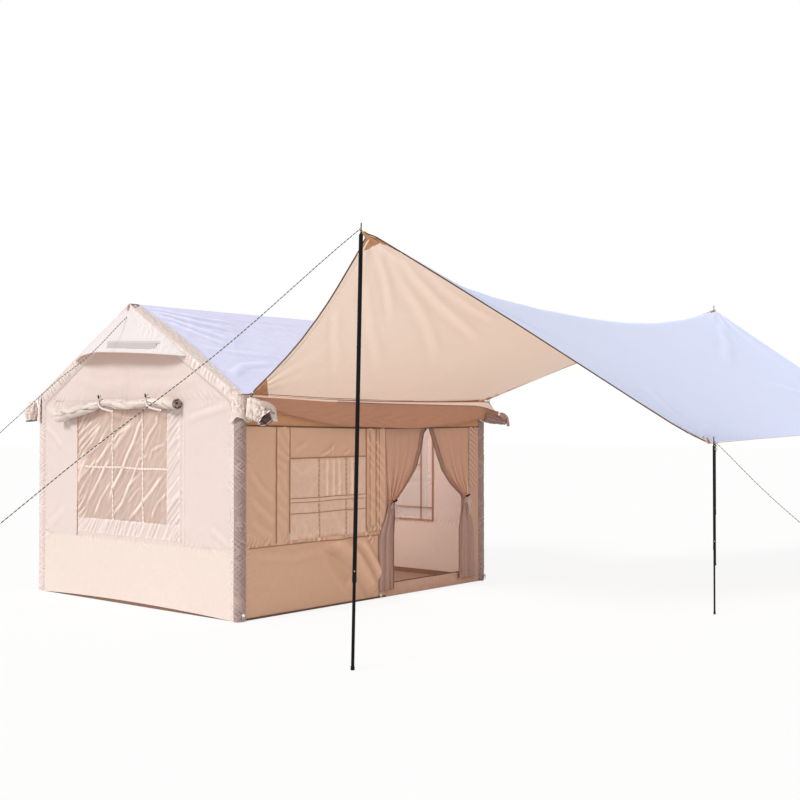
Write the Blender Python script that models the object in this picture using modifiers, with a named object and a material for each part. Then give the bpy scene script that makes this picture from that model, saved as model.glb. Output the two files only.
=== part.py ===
"""Inflatable ridge tent with a canopy held out in front on four poles.

X runs along the front wall, Y into the tent, Z up. The origin is on the ground at the
middle of the floor. All sizes are in metres. Each object is one separate piece.
"""

import bpy
import bmesh
from math import atan2, cos, pi, radians, sin, sqrt, tan
from mathutils import Matrix, Vector

# Driving sizes of the tent
tent_length = 3.30
tent_width = 2.80
eave_height = 1.80
ridge_height = 2.60
tube_radius = 0.060
bend_radius = 0.15

# Cloth, film and clearances
wall_cloth = 0.003
roof_cloth = 0.003
floor_cloth = 0.003
mesh_cloth = 0.002
soft_cloth = 0.002
sleeve_wall = 0.003
bladder_film = 0.001
gap = 0.0003

# Where the walls meet the tubes, measured outwards from the tubes' middle plane
wall_offset = 0.040

# Front wall and door
header_bottom = 1.53
door_left = 0.14
door_right = 1.38
door_apex = 0.75
sill_height = 0.13
front_window_left = -1.06
front_window_right = -0.12
front_window_bottom = 0.60
front_window_top = 1.27

# Windows in the two gables and in the back wall
gable_window_centre = 0.05
gable_window_width = 1.44
gable_window_bottom = 0.585
gable_window_top = 1.69
back_window_width = 1.30
back_window_bottom = 0.72
back_window_top = 1.42

# Rolled window covers
roll_radius = 0.060
gable_roll_left = 1.08
gable_roll_right = -0.66
back_roll_length = 1.60
back_roll_drop = 0.25

# Vent hoods under the two gable peaks
hood_top_drop = 0.13
hood_bottom = 2.15
hood_reach = 0.12

# Door curtains, tied back to the sides of the door; widths are across their folds
curtain_tie_height = 0.86
curtain_tie_width = 0.085
curtain_hem_width = 0.190
curtain_tie_inset = 0.030
curtain_folds = 4
curtain_fold_depth = 0.034
curtain_hem_height = 0.06
left_curtain_overlap = 0.100
right_curtain_overlap = 0.010

# Flap under the front eave
flap_end_inset = 0.290
flap_left_drop = 0.015
flap_right_drop = 0.085
flap_lowest = 1.53
flap_bulge = 0.035

# Bundles of gathered cloth at the four eave corners
bundle_radius = 0.115
bundle_folds = 7
bundle_fold_depth = 0.010
bundle_middle_share = 0.45
bundle_drop = 0.125
bundle_front_left_inset = 0.130
bundle_side_out = 0.020

# Canopy: ends of its ridge are on the tall poles, its front corners on the low poles
canopy_cloth = 0.002
canopy_back_inset_left = 0.145
canopy_back_inset_right = -0.020
canopy_corner_clearance = 0.0008
ridge_sag = 0.32
back_edge_sag = 0.032
near_back_bow = 0.126
near_front_bow = 0.055
far_back_bow = 0.050
far_front_bow = 0.055
front_edge_bow = 0.012
panel_sag = 0.030

# Where the poles stand, from the tent's front left or front right corner
near_tall_out = 0.700
near_tall_ahead = 1.870
near_tall_lean_right = 0.034
near_tall_lean_ahead = 0.040
far_tall_out = 2.610
far_tall_ahead = 1.200
near_low_in = 0.477
near_low_ahead = 2.663
far_low_out = 2.830
far_low_ahead = 3.080

# Poles
tall_pole_height = 2.80
low_pole_height = 1.40
far_low_pole_height = 1.50
tall_upper_radius = 0.0140
tall_foot_radius = 0.0110
low_upper_radius = 0.0095
low_foot_radius = 0.0075
pole_wall = 0.0016
tall_foot_shown = 0.56
low_foot_shown = 0.53
far_low_foot_shown = 0.63
foot_insertion = 0.12
pole_plug = 0.05
pin_radius = 0.004
pin_length = 0.060
shoulder_length = 0.020

# Guy ropes, their runners and pegs; a peg's place is counted from what its rope hangs on
rope_radius = 0.002
rope_points = 40
rope_sag_share = 0.010
pole_rope_straight_share = 0.45
gable_rope_straight_share = 0.75
near_tall_peg_left = 3.109
near_tall_peg_behind = 1.296
near_low_peg_right = 0.321
near_low_peg_ahead = 1.443
gable_peg_left = 2.578
gable_peg_behind = 0.709
peg_radius = 0.004
peg_height = 0.055
peg_lean = 0.020
rope_tie_height = 0.030
runner_radius = 0.008
runner_length = 0.040
pole_runner_from_peg = 0.55
gable_runner_from_peg = 2.35

# Inflation valve, on the inner side of the back column of the left gable arch
valve_height = 0.35
valve_flange_radius = 0.026
valve_flange_thickness = 0.004
valve_neck_radius = 0.016
valve_neck_length = 0.014
valve_bore_radius = 0.011
valve_button_length = 0.012
valve_button_sunk = 0.001
valve_button_radius = 0.0105
valve_cap_radius = 0.022
valve_cap_thickness = 0.006

# Zip sliders of the front window
slider_width = 0.012
slider_length = 0.018
slider_thickness = 0.005
slider_tab_width = 0.006
slider_tab_length = 0.030
slider_rest_height = 0.64
slider_zip_offset = 0.02

# Air ports that join the bladders
port_radius = 0.008

# Facets
tube_resolution = 6
thin_resolution = 4
cord_resolution = 2
turn_steps = 16
bend_steps = 5
notch_steps = 8

# Derived sizes
half_length = tent_length / 2
half_width = tent_width / 2
slope = atan2(ridge_height - eave_height, half_width)
column_x = half_length - tube_radius
column_y = half_width - tube_radius
peak_axis_z = ridge_height - (roof_cloth + gap + tube_radius) / cos(slope)
corner_axis_z = peak_axis_z - column_y * tan(slope)
wall_x = column_x + wall_offset
wall_y = column_y + wall_offset
wall_bottom = floor_cloth + gap
tube_reach = sqrt(tube_radius ** 2 - (wall_offset - wall_cloth) ** 2) + gap

PARTS = "inflatable_tent"
CUTTERS = "cutters"


def clear_scene():
    """Remove everything that the start-up file brought along."""
    for item in list(bpy.data.objects):
        bpy.data.objects.remove(item, do_unlink=True)


def collection(name):
    """Return the named collection, made on first use."""
    found = bpy.data.collections.get(name)
    if found is None:
        found = bpy.data.collections.new(name)
        bpy.context.scene.collection.children.link(found)
    return found


def paint(item, colour, roughness, metallic=0.0):
    """Give one piece its own Principled material."""
    material = bpy.data.materials.new(item.name)
    material.use_nodes = True
    shader = material.node_tree.nodes["Principled BSDF"]
    shader.inputs["Base Color"].default_value = (*colour, 1.0)
    shader.inputs["Roughness"].default_value = roughness
    shader.inputs["Metallic"].default_value = metallic
    item.data.materials.clear()
    item.data.materials.append(material)
    return item


WALL_COLOUR = (0.53, 0.33, 0.24)
LIT_COLOUR = (0.88, 0.75, 0.68)
SLEEVE_COLOUR = (0.37, 0.27, 0.26)
ROOF_COLOUR = (0.70, 0.72, 0.92)
UNDER_COLOUR = (0.79, 0.60, 0.49)
FLAP_COLOUR = (0.39, 0.19, 0.12)
FLOOR_COLOUR = (0.20, 0.11, 0.07)
BUNDLE_COLOUR = (0.83, 0.75, 0.72)
FILM_COLOUR = (0.80, 0.80, 0.78)
POLE_COLOUR = (0.012, 0.012, 0.014)
ROPE_COLOUR = (0.05, 0.05, 0.06)
PLASTIC_COLOUR = (0.62, 0.62, 0.60)


def new_object(name, data, group=PARTS):
    """Link an object that holds the given mesh or curve."""
    item = bpy.data.objects.new(name, data)
    collection(group).objects.link(item)
    return item


def object_from_bmesh(name, work, smooth=True, group=PARTS):
    """Turn a bmesh into a linked object."""
    bmesh.ops.recalc_face_normals(work, faces=work.faces)
    mesh = bpy.data.meshes.new(name)
    work.to_mesh(mesh)
    work.free()
    if smooth:
        mesh.shade_smooth()
        mesh.set_sharp_from_angle(angle=radians(40))
    return new_object(name, mesh, group)


def thicken(item, thickness, offset):
    """Add a Solidify modifier: offset -1 keeps the outer face, 0 goes both ways."""
    shell = item.modifiers.new("cloth", "SOLIDIFY")
    shell.thickness = thickness
    shell.offset = offset
    shell.use_even_offset = True
    return item


def cut(item, cutter):
    """Subtract one cutter from a piece."""
    cutter.hide_render = True
    cutter.display_type = "WIRE"
    boolean = item.modifiers.new("cut", "BOOLEAN")
    boolean.operation = "DIFFERENCE"
    boolean.solver = "EXACT"
    boolean.object = cutter
    return item


def curve_data(name, points, radius, resolution, caps, shares=None):
    """A POLY curve with a round bevel; shares scale the radius point by point."""
    data = bpy.data.curves.new(name, "CURVE")
    data.dimensions = "3D"
    data.bevel_depth = radius
    data.bevel_resolution = resolution
    data.use_fill_caps = caps
    spline = data.splines.new("POLY")
    spline.points.add(len(points) - 1)
    for index, point in enumerate(points):
        spline.points[index].co = (*point, 1.0)
        if shares:
            spline.points[index].radius = shares[index]
    return data


def tube(name, points, radius, resolution=thin_resolution, caps=True, shares=None):
    """A round tube or rod along a list of points."""
    return new_object(name, curve_data(name, points, radius, resolution, caps, shares))


def tube_surface(name, points, radius, resolution):
    """An open tube as a mesh object, ready for modifiers."""
    guide = tube(name + "_guide", points, radius, resolution, caps=False)
    graph = bpy.context.evaluated_depsgraph_get()
    mesh = bpy.data.meshes.new_from_object(guide.evaluated_get(graph))
    bpy.data.objects.remove(guide, do_unlink=True)
    work = bmesh.new()
    work.from_mesh(mesh)
    bmesh.ops.remove_doubles(work, verts=work.verts, dist=0.0001)
    bpy.data.meshes.remove(mesh)
    return work


def turned(name, profile, place, steps=turn_steps):
    """A shape turned about its own Z axis from (radius, height) points."""
    work = bmesh.new()
    verts = [work.verts.new((r, 0.0, z)) for r, z in profile]
    for first, second in zip(verts, verts[1:]):
        work.edges.new((first, second))
    mesh = bpy.data.meshes.new(name)
    work.to_mesh(mesh)
    work.free()
    item = new_object(name, mesh)
    screw = item.modifiers.new("turn", "SCREW")
    screw.steps = steps
    screw.render_steps = steps
    screw.use_merge_vertices = True
    screw.merge_threshold = 0.0001
    item.matrix_world = place
    return item


def panel(name, outline, holes, thickness, place):
    """A flat piece of cloth: a filled 2D curve, half its thickness to each side."""
    data = bpy.data.curves.new(name, "CURVE")
    data.dimensions = "2D"
    data.fill_mode = "BOTH"
    data.extrude = thickness / 2
    for loop in [outline] + holes:
        spline = data.splines.new("POLY")
        spline.points.add(len(loop) - 1)
        for index, (x, y) in enumerate(loop):
            spline.points[index].co = (x, y, 0.0, 1.0)
        spline.use_cyclic_u = True
    item = new_object(name, data)
    item.matrix_world = place
    return item


def rectangle(left, right, bottom, top):
    """Corners of an upright rectangle."""
    return [(left, bottom), (right, bottom), (right, top), (left, top)]


def side_plane(x):
    """Local x, y become world Y, Z in a plane across the tent."""
    return Matrix(((0, 0, 1, x), (1, 0, 0, 0), (0, 1, 0, 0), (0, 0, 0, 1)))


def long_plane(y):
    """Local x, y become world X, Z in a plane along the tent."""
    return Matrix(((1, 0, 0, 0), (0, 0, -1, y), (0, 1, 0, 0), (0, 0, 0, 1)))


def hang_on(item, name, origin):
    """Put an empty on a joint's axis and make it the piece's parent."""
    pivot = bpy.data.objects.new(name, None)
    pivot.empty_display_size = tube_radius
    pivot.location = origin
    collection(PARTS).objects.link(pivot)
    place = item.matrix_basis.copy()
    item.parent = pivot
    item.matrix_basis = Matrix.Translation(-origin) @ place


def along(origin, direction):
    """A frame whose Z axis points along a direction."""
    turn = Vector((0, 0, 1)).rotation_difference(direction)
    return Matrix.Translation(origin) @ turn.to_matrix().to_4x4()


def sheet(name, place_point, columns, rows, thickness, offset=0.0):
    """A sheet of cloth on a grid; place_point(u, v) places its points, u and v from 0 to 1."""
    work = bmesh.new()
    bmesh.ops.create_grid(work, x_segments=columns, y_segments=rows, size=1.0)
    for vert in work.verts:
        vert.co = place_point((1 + vert.co.x) / 2, (1 - vert.co.y) / 2)
    item = object_from_bmesh(name, work)
    return thicken(item, thickness, offset)


def ramp(value, stops):
    """Read a curve of (position, value) stops by straight runs."""
    for (a, first), (b, second) in zip(stops, stops[1:]):
        if value <= b:
            return first + (second - first) * (value - a) / (b - a)
    return stops[-1][1]


def rounded_path(corners, radius, steps):
    """An open run of points whose inner corners are replaced by arcs."""
    path = [corners[0]]
    for before, corner, after in zip(corners, corners[1:], corners[2:]):
        back = (before - corner).normalized()
        ahead = (after - corner).normalized()
        half = back.angle(ahead) / 2
        centre = corner + (back + ahead).normalized() * (radius / sin(half))
        start = corner + back * (radius / tan(half)) - centre
        end = corner + ahead * (radius / tan(half)) - centre
        axis = start.cross(end)
        sweep = start.angle(end)
        for step in range(steps + 1):
            path.append(centre + Matrix.Rotation(sweep * step / steps, 3, axis) @ start)
    path.append(corners[-1])
    return path


def arch_path(inset, bottom, x=0.0):
    """The gable arch from back foot to front foot, drawn in by an inset."""
    y = column_y - inset
    peak = peak_axis_z - inset / cos(slope)
    corner = peak - y * tan(slope)
    corners = [
        Vector((x, y, bottom)),
        Vector((x, y, corner)),
        Vector((x, 0.0, peak)),
        Vector((x, -y, corner)),
        Vector((x, -y, bottom)),
    ]
    return rounded_path(corners, bend_radius - inset, bend_steps)


def neck_ends(work):
    """Draw each open end of a bladder in to a small air port."""
    rim = [edge for edge in work.edges if edge.is_boundary]
    grown = bmesh.ops.extrude_edge_only(work, edges=rim)["geom"]
    fresh = [item for item in grown if isinstance(item, bmesh.types.BMVert)]
    loops = []
    for vert in fresh:
        for loop in loops:
            if (loop[0].co - vert.co).length < tube_radius * 2.5:
                loop.append(vert)
                break
        else:
            loops.append([vert])
    for loop in loops:
        middle = sum((vert.co for vert in loop), Vector()) / len(loop)
        for vert in loop:
            vert.co = middle + (vert.co - middle).normalized() * port_radius


def sleeve(name, points, colour):
    """A cloth sleeve round an air tube, open at both ends."""
    work = tube_surface(name, points, tube_radius, tube_resolution)
    item = object_from_bmesh(name, work)
    thicken(item, sleeve_wall, -1.0)
    return paint(item, colour, 0.85)


def bladder(name, points):
    """A film bladder inside a sleeve, with an air port at each end."""
    work = tube_surface(name, points, tube_radius - sleeve_wall - gap, tube_resolution)
    neck_ends(work)
    item = object_from_bmesh(name, work)
    thicken(item, bladder_film, -1.0)
    return paint(item, FILM_COLOUR, 0.4)


def build_air_frame():
    """Two gable arches joined by a ridge tube and two eave tubes."""
    arches = {}
    for side, name in ((-1, "left"), (1, "right")):
        x = side * column_x
        arch = sleeve("arch_sleeve_" + name, arch_path(0.0, 0.0, x), SLEEVE_COLOUR)
        air = bladder("arch_bladder_" + name, arch_path(0.0, sleeve_wall, x))
        arches[name] = (arch, air)
    end = column_x - tube_radius - gap
    inner = end - sleeve_wall
    runs = (
        ("ridge", 0.0, peak_axis_z),
        ("front_eave", -column_y, corner_axis_z),
        ("back_eave", column_y, corner_axis_z),
    )
    for name, y, z in runs:
        points = [Vector((-end, y, z)), Vector((0.0, y, z)), Vector((end, y, z))]
        sleeve(name + "_sleeve", points, SLEEVE_COLOUR)
        points = [Vector((-inner, y, z)), Vector((0.0, y, z)), Vector((inner, y, z))]
        bladder(name + "_bladder", points)
    return arches["left"]


def build_valve(pieces):
    """Inflation valve: a body through sleeve and bladder, a sprung button and a hinged cap."""
    origin = Vector((-column_x + tube_radius + gap, column_y, valve_height))
    place = along(origin, Vector((1, 0, 0)))
    for number, piece in enumerate(pieces):
        work = bmesh.new()
        bmesh.ops.create_cone(
            work,
            cap_ends=True,
            segments=turn_steps,
            radius1=valve_neck_radius + gap,
            radius2=valve_neck_radius + gap,
            depth=tube_radius,
        )
        cutter = object_from_bmesh("valve_hole_%d" % number, work, False, CUTTERS)
        cutter.matrix_world = place
        cut(piece, cutter)
    flange = valve_flange_thickness
    neck = -valve_neck_length
    profile = [
        (valve_bore_radius, flange),
        (valve_flange_radius, flange),
        (valve_flange_radius, 0.0),
        (valve_neck_radius, 0.0),
        (valve_neck_radius, neck),
        (valve_bore_radius, neck),
        (valve_bore_radius, flange),
    ]
    paint(turned("valve_body", profile, place), PLASTIC_COLOUR, 0.45)
    top = flange - valve_button_sunk
    foot = top - valve_button_length
    radius = valve_button_radius
    paint(
        turned("valve_button", [(0.0, top), (radius, top), (radius, foot), (0.0, foot)], place),
        PLASTIC_COLOUR,
        0.45,
    )
    low = flange + gap
    high = low + valve_cap_thickness
    rim = valve_cap_radius
    cap = turned("valve_cap", [(0.0, high), (rim, high), (rim, low), (0.0, low)], place)
    paint(cap, PLASTIC_COLOUR, 0.45)
    hang_on(cap, "valve_cap_hinge", origin + Vector((low, 0.0, rim)))


def build_gable(side, name):
    """One gable: wall with its window, net, rolled cover and vent hood."""
    plane = side_plane(side * (wall_x - wall_cloth / 2))
    outline = [(p.y, p.z) for p in arch_path(tube_reach, wall_bottom)]
    left = gable_window_centre - gable_window_width / 2
    right = gable_window_centre + gable_window_width / 2
    hole = rectangle(left, right, gable_window_bottom, gable_window_top)
    wall = panel("gable_wall_" + name, outline, [hole], wall_cloth, plane)
    paint(wall, LIT_COLOUR, 0.85)
    pane = rectangle(left + gap, right - gap, gable_window_bottom + gap, gable_window_top - gap)
    net = panel("gable_window_" + name, pane, [], mesh_cloth, plane)
    paint(net, UNDER_COLOUR, 0.8)
    build_gable_roll(side, name)
    build_hood(side, name)


# Along the rolled cover: position, height above its lowest end, thickness
ROLL_SHARES = (
    (0.00, 0.00, 0.80),
    (0.03, 0.05, 0.95),
    (0.14, 0.25, 1.00),
    (0.28, 0.62, 0.92),
    (0.41, 1.00, 0.55),
    (0.44, 1.00, 0.60),
    (0.54, 0.84, 0.90),
    (0.66, 0.82, 0.88),
    (0.78, 0.98, 0.55),
    (0.81, 0.99, 0.60),
    (0.90, 0.90, 0.92),
    (0.98, 0.84, 1.00),
    (1.00, 0.84, 0.92),
)


def build_gable_roll(side, name):
    """The rolled window cover, tied up at two places, one end drooping."""
    droop = gable_window_top - roll_radius
    lift = roll_radius * 2
    x = side * (wall_x + gap + roll_radius)
    run = gable_roll_right - gable_roll_left
    points = []
    for place, height, _ in ROLL_SHARES:
        points.append(Vector((x, gable_roll_left + run * place, droop + lift * height)))
    shares = [row[2] for row in ROLL_SHARES]
    roll = tube("gable_roll_" + name, points, roll_radius, tube_resolution, True, shares)
    paint(roll, BUNDLE_COLOUR, 0.8)


def build_hood(side, name):
    """A vent hood: a three-cornered sheet whose lower lip stands off the wall."""
    top = peak_axis_z - hood_top_drop
    face = half_length + gap + soft_cloth / 2

    def hood_point(u, v):
        z = top + (hood_bottom - top) * v
        reach = (peak_axis_z - z) / tan(slope)
        across = 2 * u - 1
        bulge = hood_reach * v ** 1.5 * (1 - across ** 4)
        return Vector((side * (face + bulge), reach * across, z))

    hood = sheet("vent_hood_" + name, hood_point, 14, 6, soft_cloth)
    paint(hood, LIT_COLOUR, 0.85)


def build_front_wall():
    """Front wall: window wall, header, side strip, door sill and window net."""
    plane = long_plane(-(wall_y - wall_cloth / 2))
    edge = column_x - tube_reach
    top = corner_axis_z - tube_reach
    hole = rectangle(front_window_left, front_window_right, front_window_bottom, front_window_top)
    outline = rectangle(-edge, door_left, wall_bottom, header_bottom)
    wall = panel("front_window_wall", outline, [hole], wall_cloth, plane)
    paint(wall, WALL_COLOUR, 0.85)
    pane = rectangle(
        front_window_left + gap,
        front_window_right - gap,
        front_window_bottom + gap,
        front_window_top - gap,
    )
    paint(panel("front_window", pane, [], mesh_cloth, plane), UNDER_COLOUR, 0.8)
    outline = rectangle(-edge, edge, header_bottom + gap, top)
    paint(panel("front_header", outline, [], wall_cloth, plane), WALL_COLOUR, 0.85)
    outline = rectangle(door_right, edge, wall_bottom, header_bottom)
    paint(panel("door_side_strip", outline, [], wall_cloth, plane), WALL_COLOUR, 0.85)
    outline = rectangle(door_left + gap, door_right - gap, wall_bottom, sill_height)
    paint(panel("door_sill", outline, [], wall_cloth, plane), WALL_COLOUR, 0.85)


def build_back_wall():
    """Back wall with a window net and its rolled cover."""
    plane = long_plane(wall_y - wall_cloth / 2)
    edge = column_x - tube_reach
    top = corner_axis_z - tube_reach
    half = back_window_width / 2
    hole = rectangle(-half, half, back_window_bottom, back_window_top)
    outline = rectangle(-edge, edge, wall_bottom, top)
    paint(panel("back_wall", outline, [hole], wall_cloth, plane), WALL_COLOUR, 0.85)
    pane = rectangle(
        -half + gap, half - gap, back_window_bottom + gap, back_window_top - gap
    )
    paint(panel("back_window", pane, [], mesh_cloth, plane), UNDER_COLOUR, 0.8)
    y = wall_y + gap + roll_radius
    points = []
    for place, height, _ in ROLL_SHARES:
        x = back_roll_length * (place - 0.5)
        points.append(Vector((x, y, eave_height - back_roll_drop - roll_radius * 2 * (1 - height))))
    shares = [row[2] for row in ROLL_SHARES]
    roll = tube("back_roll", points, roll_radius, tube_resolution, True, shares)
    paint(roll, BUNDLE_COLOUR, 0.8)


# Inner edge of a tied-back curtain, from the header to the tie: share of the drop, and
# share of the way that is left from the tie to the middle of the door
LEFT_EDGE_SHARES = (
    (0.0, 1.0), (0.07, 0.86), (0.3, 0.78), (0.56, 0.62), (0.72, 0.44), (0.88, 0.22), (1.0, 0.0),
)
RIGHT_EDGE_SHARES = (
    (0.0, 1.0), (0.33, 0.80), (0.6, 0.62), (0.8, 0.38), (0.95, 0.1), (1.0, 0.0),
)


def build_curtain(name, side, post, overlap, edge_shares):
    """One door curtain, gathered at a tie and hanging in folds below it."""
    top = header_bottom + wall_cloth
    tie_share = (top - curtain_tie_height) / (top - curtain_hem_height)
    face = -(wall_y + gap + soft_cloth)
    tie_outer = post - side * curtain_tie_inset
    tie_inner = tie_outer - side * curtain_tie_width
    hem_outer = post + side * overlap
    hem_inner = hem_outer - side * curtain_hem_width

    def curtain_point(u, v):
        z = top + (curtain_hem_height - top) * v
        if v < tie_share:
            drop = v / tie_share
            outer = post + (tie_outer - post) * drop
            inner = tie_inner + (door_apex - tie_inner) * ramp(drop, edge_shares)
        else:
            swell = min(1.0, 3 * (v - tie_share) / (1 - tie_share))
            outer = tie_outer + (hem_outer - tie_outer) * swell
            inner = tie_inner + (hem_inner - tie_inner) * swell
        depth = curtain_fold_depth * min(1.0, v * 3)
        wave = (1 - cos(2 * pi * curtain_folds * u)) / 2
        return Vector((outer + (inner - outer) * u, face - depth * wave, z))

    curtain = sheet(name, curtain_point, curtain_folds * 6, 16, soft_cloth)
    paint(curtain, WALL_COLOUR, 0.85)


def build_curtains():
    """Both door curtains, each on its own door post."""
    build_curtain("door_curtain_left", -1, door_left, left_curtain_overlap, LEFT_EDGE_SHARES)
    build_curtain("door_curtain_right", 1, door_right, right_curtain_overlap, RIGHT_EDGE_SHARES)


def build_eave_flap():
    """The flap that hangs in a shallow arc under the front eave."""
    face = -(half_width + gap + soft_cloth / 2)
    reach = half_length - flap_end_inset

    def flap_point(u, v):
        x = reach * (2 * u - 1)
        upper = eave_height - flap_left_drop + (flap_left_drop - flap_right_drop) * u
        arc = 4 * u * (1 - u)
        lower = upper - (upper - flap_lowest) * arc - soft_cloth
        z = upper + (lower - upper) * v
        return Vector((x, face - flap_bulge * arc * v ** 2, z))

    paint(sheet("eave_flap", flap_point, 24, 4, soft_cloth), FLAP_COLOUR, 0.85)


def build_bundle(name, x, side, stretch):
    """A bundle of gathered cloth: a folded ball, flat where it lies against the tent."""
    flat = side * (half_width + gap)
    reach = bundle_radius * stretch[1] * bundle_middle_share
    middle = Vector((x, flat + side * reach, eave_height - bundle_drop))
    work = bmesh.new()
    bmesh.ops.create_uvsphere(work, u_segments=bundle_folds * 4, v_segments=10, radius=1.0)
    for vert in work.verts:
        angle = atan2(vert.co.y, vert.co.x)
        level = vert.co.z
        fold = bundle_fold_depth * (1 - level * level) * (1 + sin(bundle_folds * angle)) / 2
        across = bundle_radius * (1.0 - 0.35 * max(0.0, level)) - fold
        y = vert.co.y * across * stretch[1]
        if side * (middle.y + y) < side * flat:
            y = flat - middle.y
        vert.co = Vector((vert.co.x * across * stretch[0], y, level * bundle_radius * stretch[2]))
    item = object_from_bmesh(name, work)
    item.location = middle
    paint(item, BUNDLE_COLOUR, 0.85)


# Widths of a bundle along X, Y and Z, as shares of its ball
FRONT_LEFT_SHARES = (1.0, 1.1, 0.85)
FRONT_RIGHT_SHARES = (1.0, 1.25, 0.75)
BACK_SHARES = (1.0, 1.0, 0.9)


def build_bundles():
    """Bundles at the four eave corners, hanging outside the walls."""
    near = bundle_front_left_inset - half_length
    out = half_length + bundle_side_out
    build_bundle("corner_bundle_front_left", near, -1, FRONT_LEFT_SHARES)
    build_bundle("corner_bundle_front_right", out, -1, FRONT_RIGHT_SHARES)
    build_bundle("corner_bundle_back_left", -out, 1, BACK_SHARES)
    build_bundle("corner_bundle_back_right", out, 1, BACK_SHARES)


def build_roof():
    """Two roof panels from the ridge to the eaves."""
    top = ridge_height - gap / 2 * tan(slope)
    for side, name in ((-1, "front"), (1, "back")):
        near = side * gap / 2
        eave = side * half_width
        outline = [
            (near, top),
            (eave, eave_height),
            (eave - side * sin(slope) * roof_cloth, eave_height - cos(slope) * roof_cloth),
            (near, top - roof_cloth / cos(slope)),
        ]
        item = panel("roof_" + name, outline, [], tent_length, side_plane(0.0))
        paint(item, ROOF_COLOUR, 0.75)


def build_floor():
    """Groundsheet, notched round the four columns."""
    clear = tube_radius + gap
    reach = sqrt(clear ** 2 - wall_offset ** 2)
    first = atan2(-reach, wall_offset)
    last = atan2(reach, -wall_offset) - 2 * pi
    radius = clear / cos((last - first) / notch_steps / 2)
    outline = []
    for sx, sy in ((1, 1), (-1, 1), (-1, -1), (1, -1)):
        arc = []
        for step in range(notch_steps + 1):
            angle = first + (last - first) * step / notch_steps
            x = column_x + radius * cos(angle)
            y = column_y + radius * sin(angle)
            arc.append((sx * x, sy * y))
        if sx * sy < 0:
            arc.reverse()
        outline.extend(arc)
    flat = Matrix.Translation((0.0, 0.0, floor_cloth / 2))
    paint(panel("groundsheet", outline, [], floor_cloth, flat), FLOOR_COLOUR, 0.6)


# Sag of the canopy's ridge along its length, as shares of its deepest sag
RIDGE_SAG_SHARES = (
    (0.0, 0.0), (0.05, 0.26), (0.1, 0.48), (0.17, 0.72), (0.25, 0.85), (0.37, 0.96),
    (0.5, 1.0), (0.63, 0.95), (0.75, 0.79), (0.87, 0.50), (0.94, 0.25), (1.0, 0.0),
)

# Bow of the canopy's four side edges from an eave or a low pole up to a tall pole
NEAR_BACK_SHARES = (
    (0.0, 0.0), (0.04, 0.02), (0.15, 0.42), (0.26, 0.74), (0.37, 0.94), (0.5, 1.0),
    (0.6, 0.98), (0.7, 0.88), (0.8, 0.74), (0.9, 0.60), (0.97, 0.45), (1.0, 0.0),
)
NEAR_FRONT_SHARES = (
    (0.0, 0.0), (0.08, -0.6), (0.14, -0.7), (0.25, -0.5), (0.44, 0.0), (0.62, 0.45),
    (0.8, 0.6), (0.9, 0.65), (0.97, 0.6), (1.0, 0.0),
)
EVEN_SHARES = ((0.0, 0.0), (0.1, 0.36), (0.25, 0.75), (0.5, 1.0), (0.75, 0.75), (0.9, 0.36), (1.0, 0.0))

# The corners next to each pole's corner, round the canopy's edge
CANOPY_NEIGHBOURS = {
    "near_tall": ("back_left", "near_low"),
    "near_low": ("near_tall", "far_low"),
    "far_low": ("near_low", "far_tall"),
    "far_tall": ("far_low", "back_right"),
}


def bowed(start, end, share, bow, bow_shares, towards):
    """A point on an edge that is drawn in towards the cloth's middle."""
    line = (end - start).normalized()
    inward = towards - (start + end) / 2
    inward = (inward - line * inward.dot(line)).normalized()
    return start.lerp(end, share) + inward * bow * ramp(share, bow_shares)


def canopy_corners(poles):
    """The six corners of the canopy, each just inside what holds it."""
    back = -(half_width + gap + canopy_cloth / 2)
    held = {name: pole["top"] for name, pole in poles.items()}
    held["back_left"] = Vector((canopy_back_inset_left - half_length, back, eave_height))
    held["back_right"] = Vector((half_length - canopy_back_inset_right, back, eave_height))
    corners = dict(held)
    for name, pole in poles.items():
        sides = []
        for other in CANOPY_NEIGHBOURS[name]:
            side = held[other] - held[name]
            side.z = 0.0
            sides.append(side.normalized())
        inward = (sides[0] + sides[1]).normalized()
        clear = pin_radius + canopy_corner_clearance
        lift = Vector((0.0, 0.0, pin_radius + gap))
        corners[name] = pole["top"] + lift + inward * clear
    return corners


def canopy_point(corners, u, v):
    """A point of the canopy: u from the near side to the far side, v from eave to front."""
    near, far = corners["near_tall"], corners["far_tall"]
    ridge = near.lerp(far, u)
    ridge.z -= ridge_sag * ramp(u, RIDGE_SAG_SHARES)
    if v <= 0.5:
        share = v * 2
        start, end = corners["back_left"], corners["back_right"]
        outer = start.lerp(end, u)
        outer.z -= back_edge_sag * ramp(u, EVEN_SHARES)
        near_bow, near_shares, far_bow = near_back_bow, NEAR_BACK_SHARES, far_back_bow
    else:
        share = (1 - v) * 2
        start, end = corners["near_low"], corners["far_low"]
        outer = bowed(start, end, u, front_edge_bow, EVEN_SHARES, (near + far) / 2)
        near_bow, near_shares, far_bow = near_front_bow, NEAR_FRONT_SHARES, far_front_bow
    middle = (start + end + near + far) / 4
    left = bowed(start, near, share, near_bow, near_shares, middle)
    right = bowed(end, far, share, far_bow, EVEN_SHARES, middle)
    flat = start.lerp(end, u).lerp(near.lerp(far, u), share)
    point = left.lerp(right, u) + outer.lerp(ridge, share) - flat
    point.z -= panel_sag * sin(pi * u) * sin(pi * share)
    return point


def build_canopy(poles):
    """The canopy: one sheet from the front eave over its sagging ridge to the low poles."""
    corners = canopy_corners(poles)
    canopy = sheet("canopy", lambda u, v: canopy_point(corners, u, v), 22, 16, canopy_cloth)
    paint(canopy, ROOF_COLOUR, 0.8)


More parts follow.
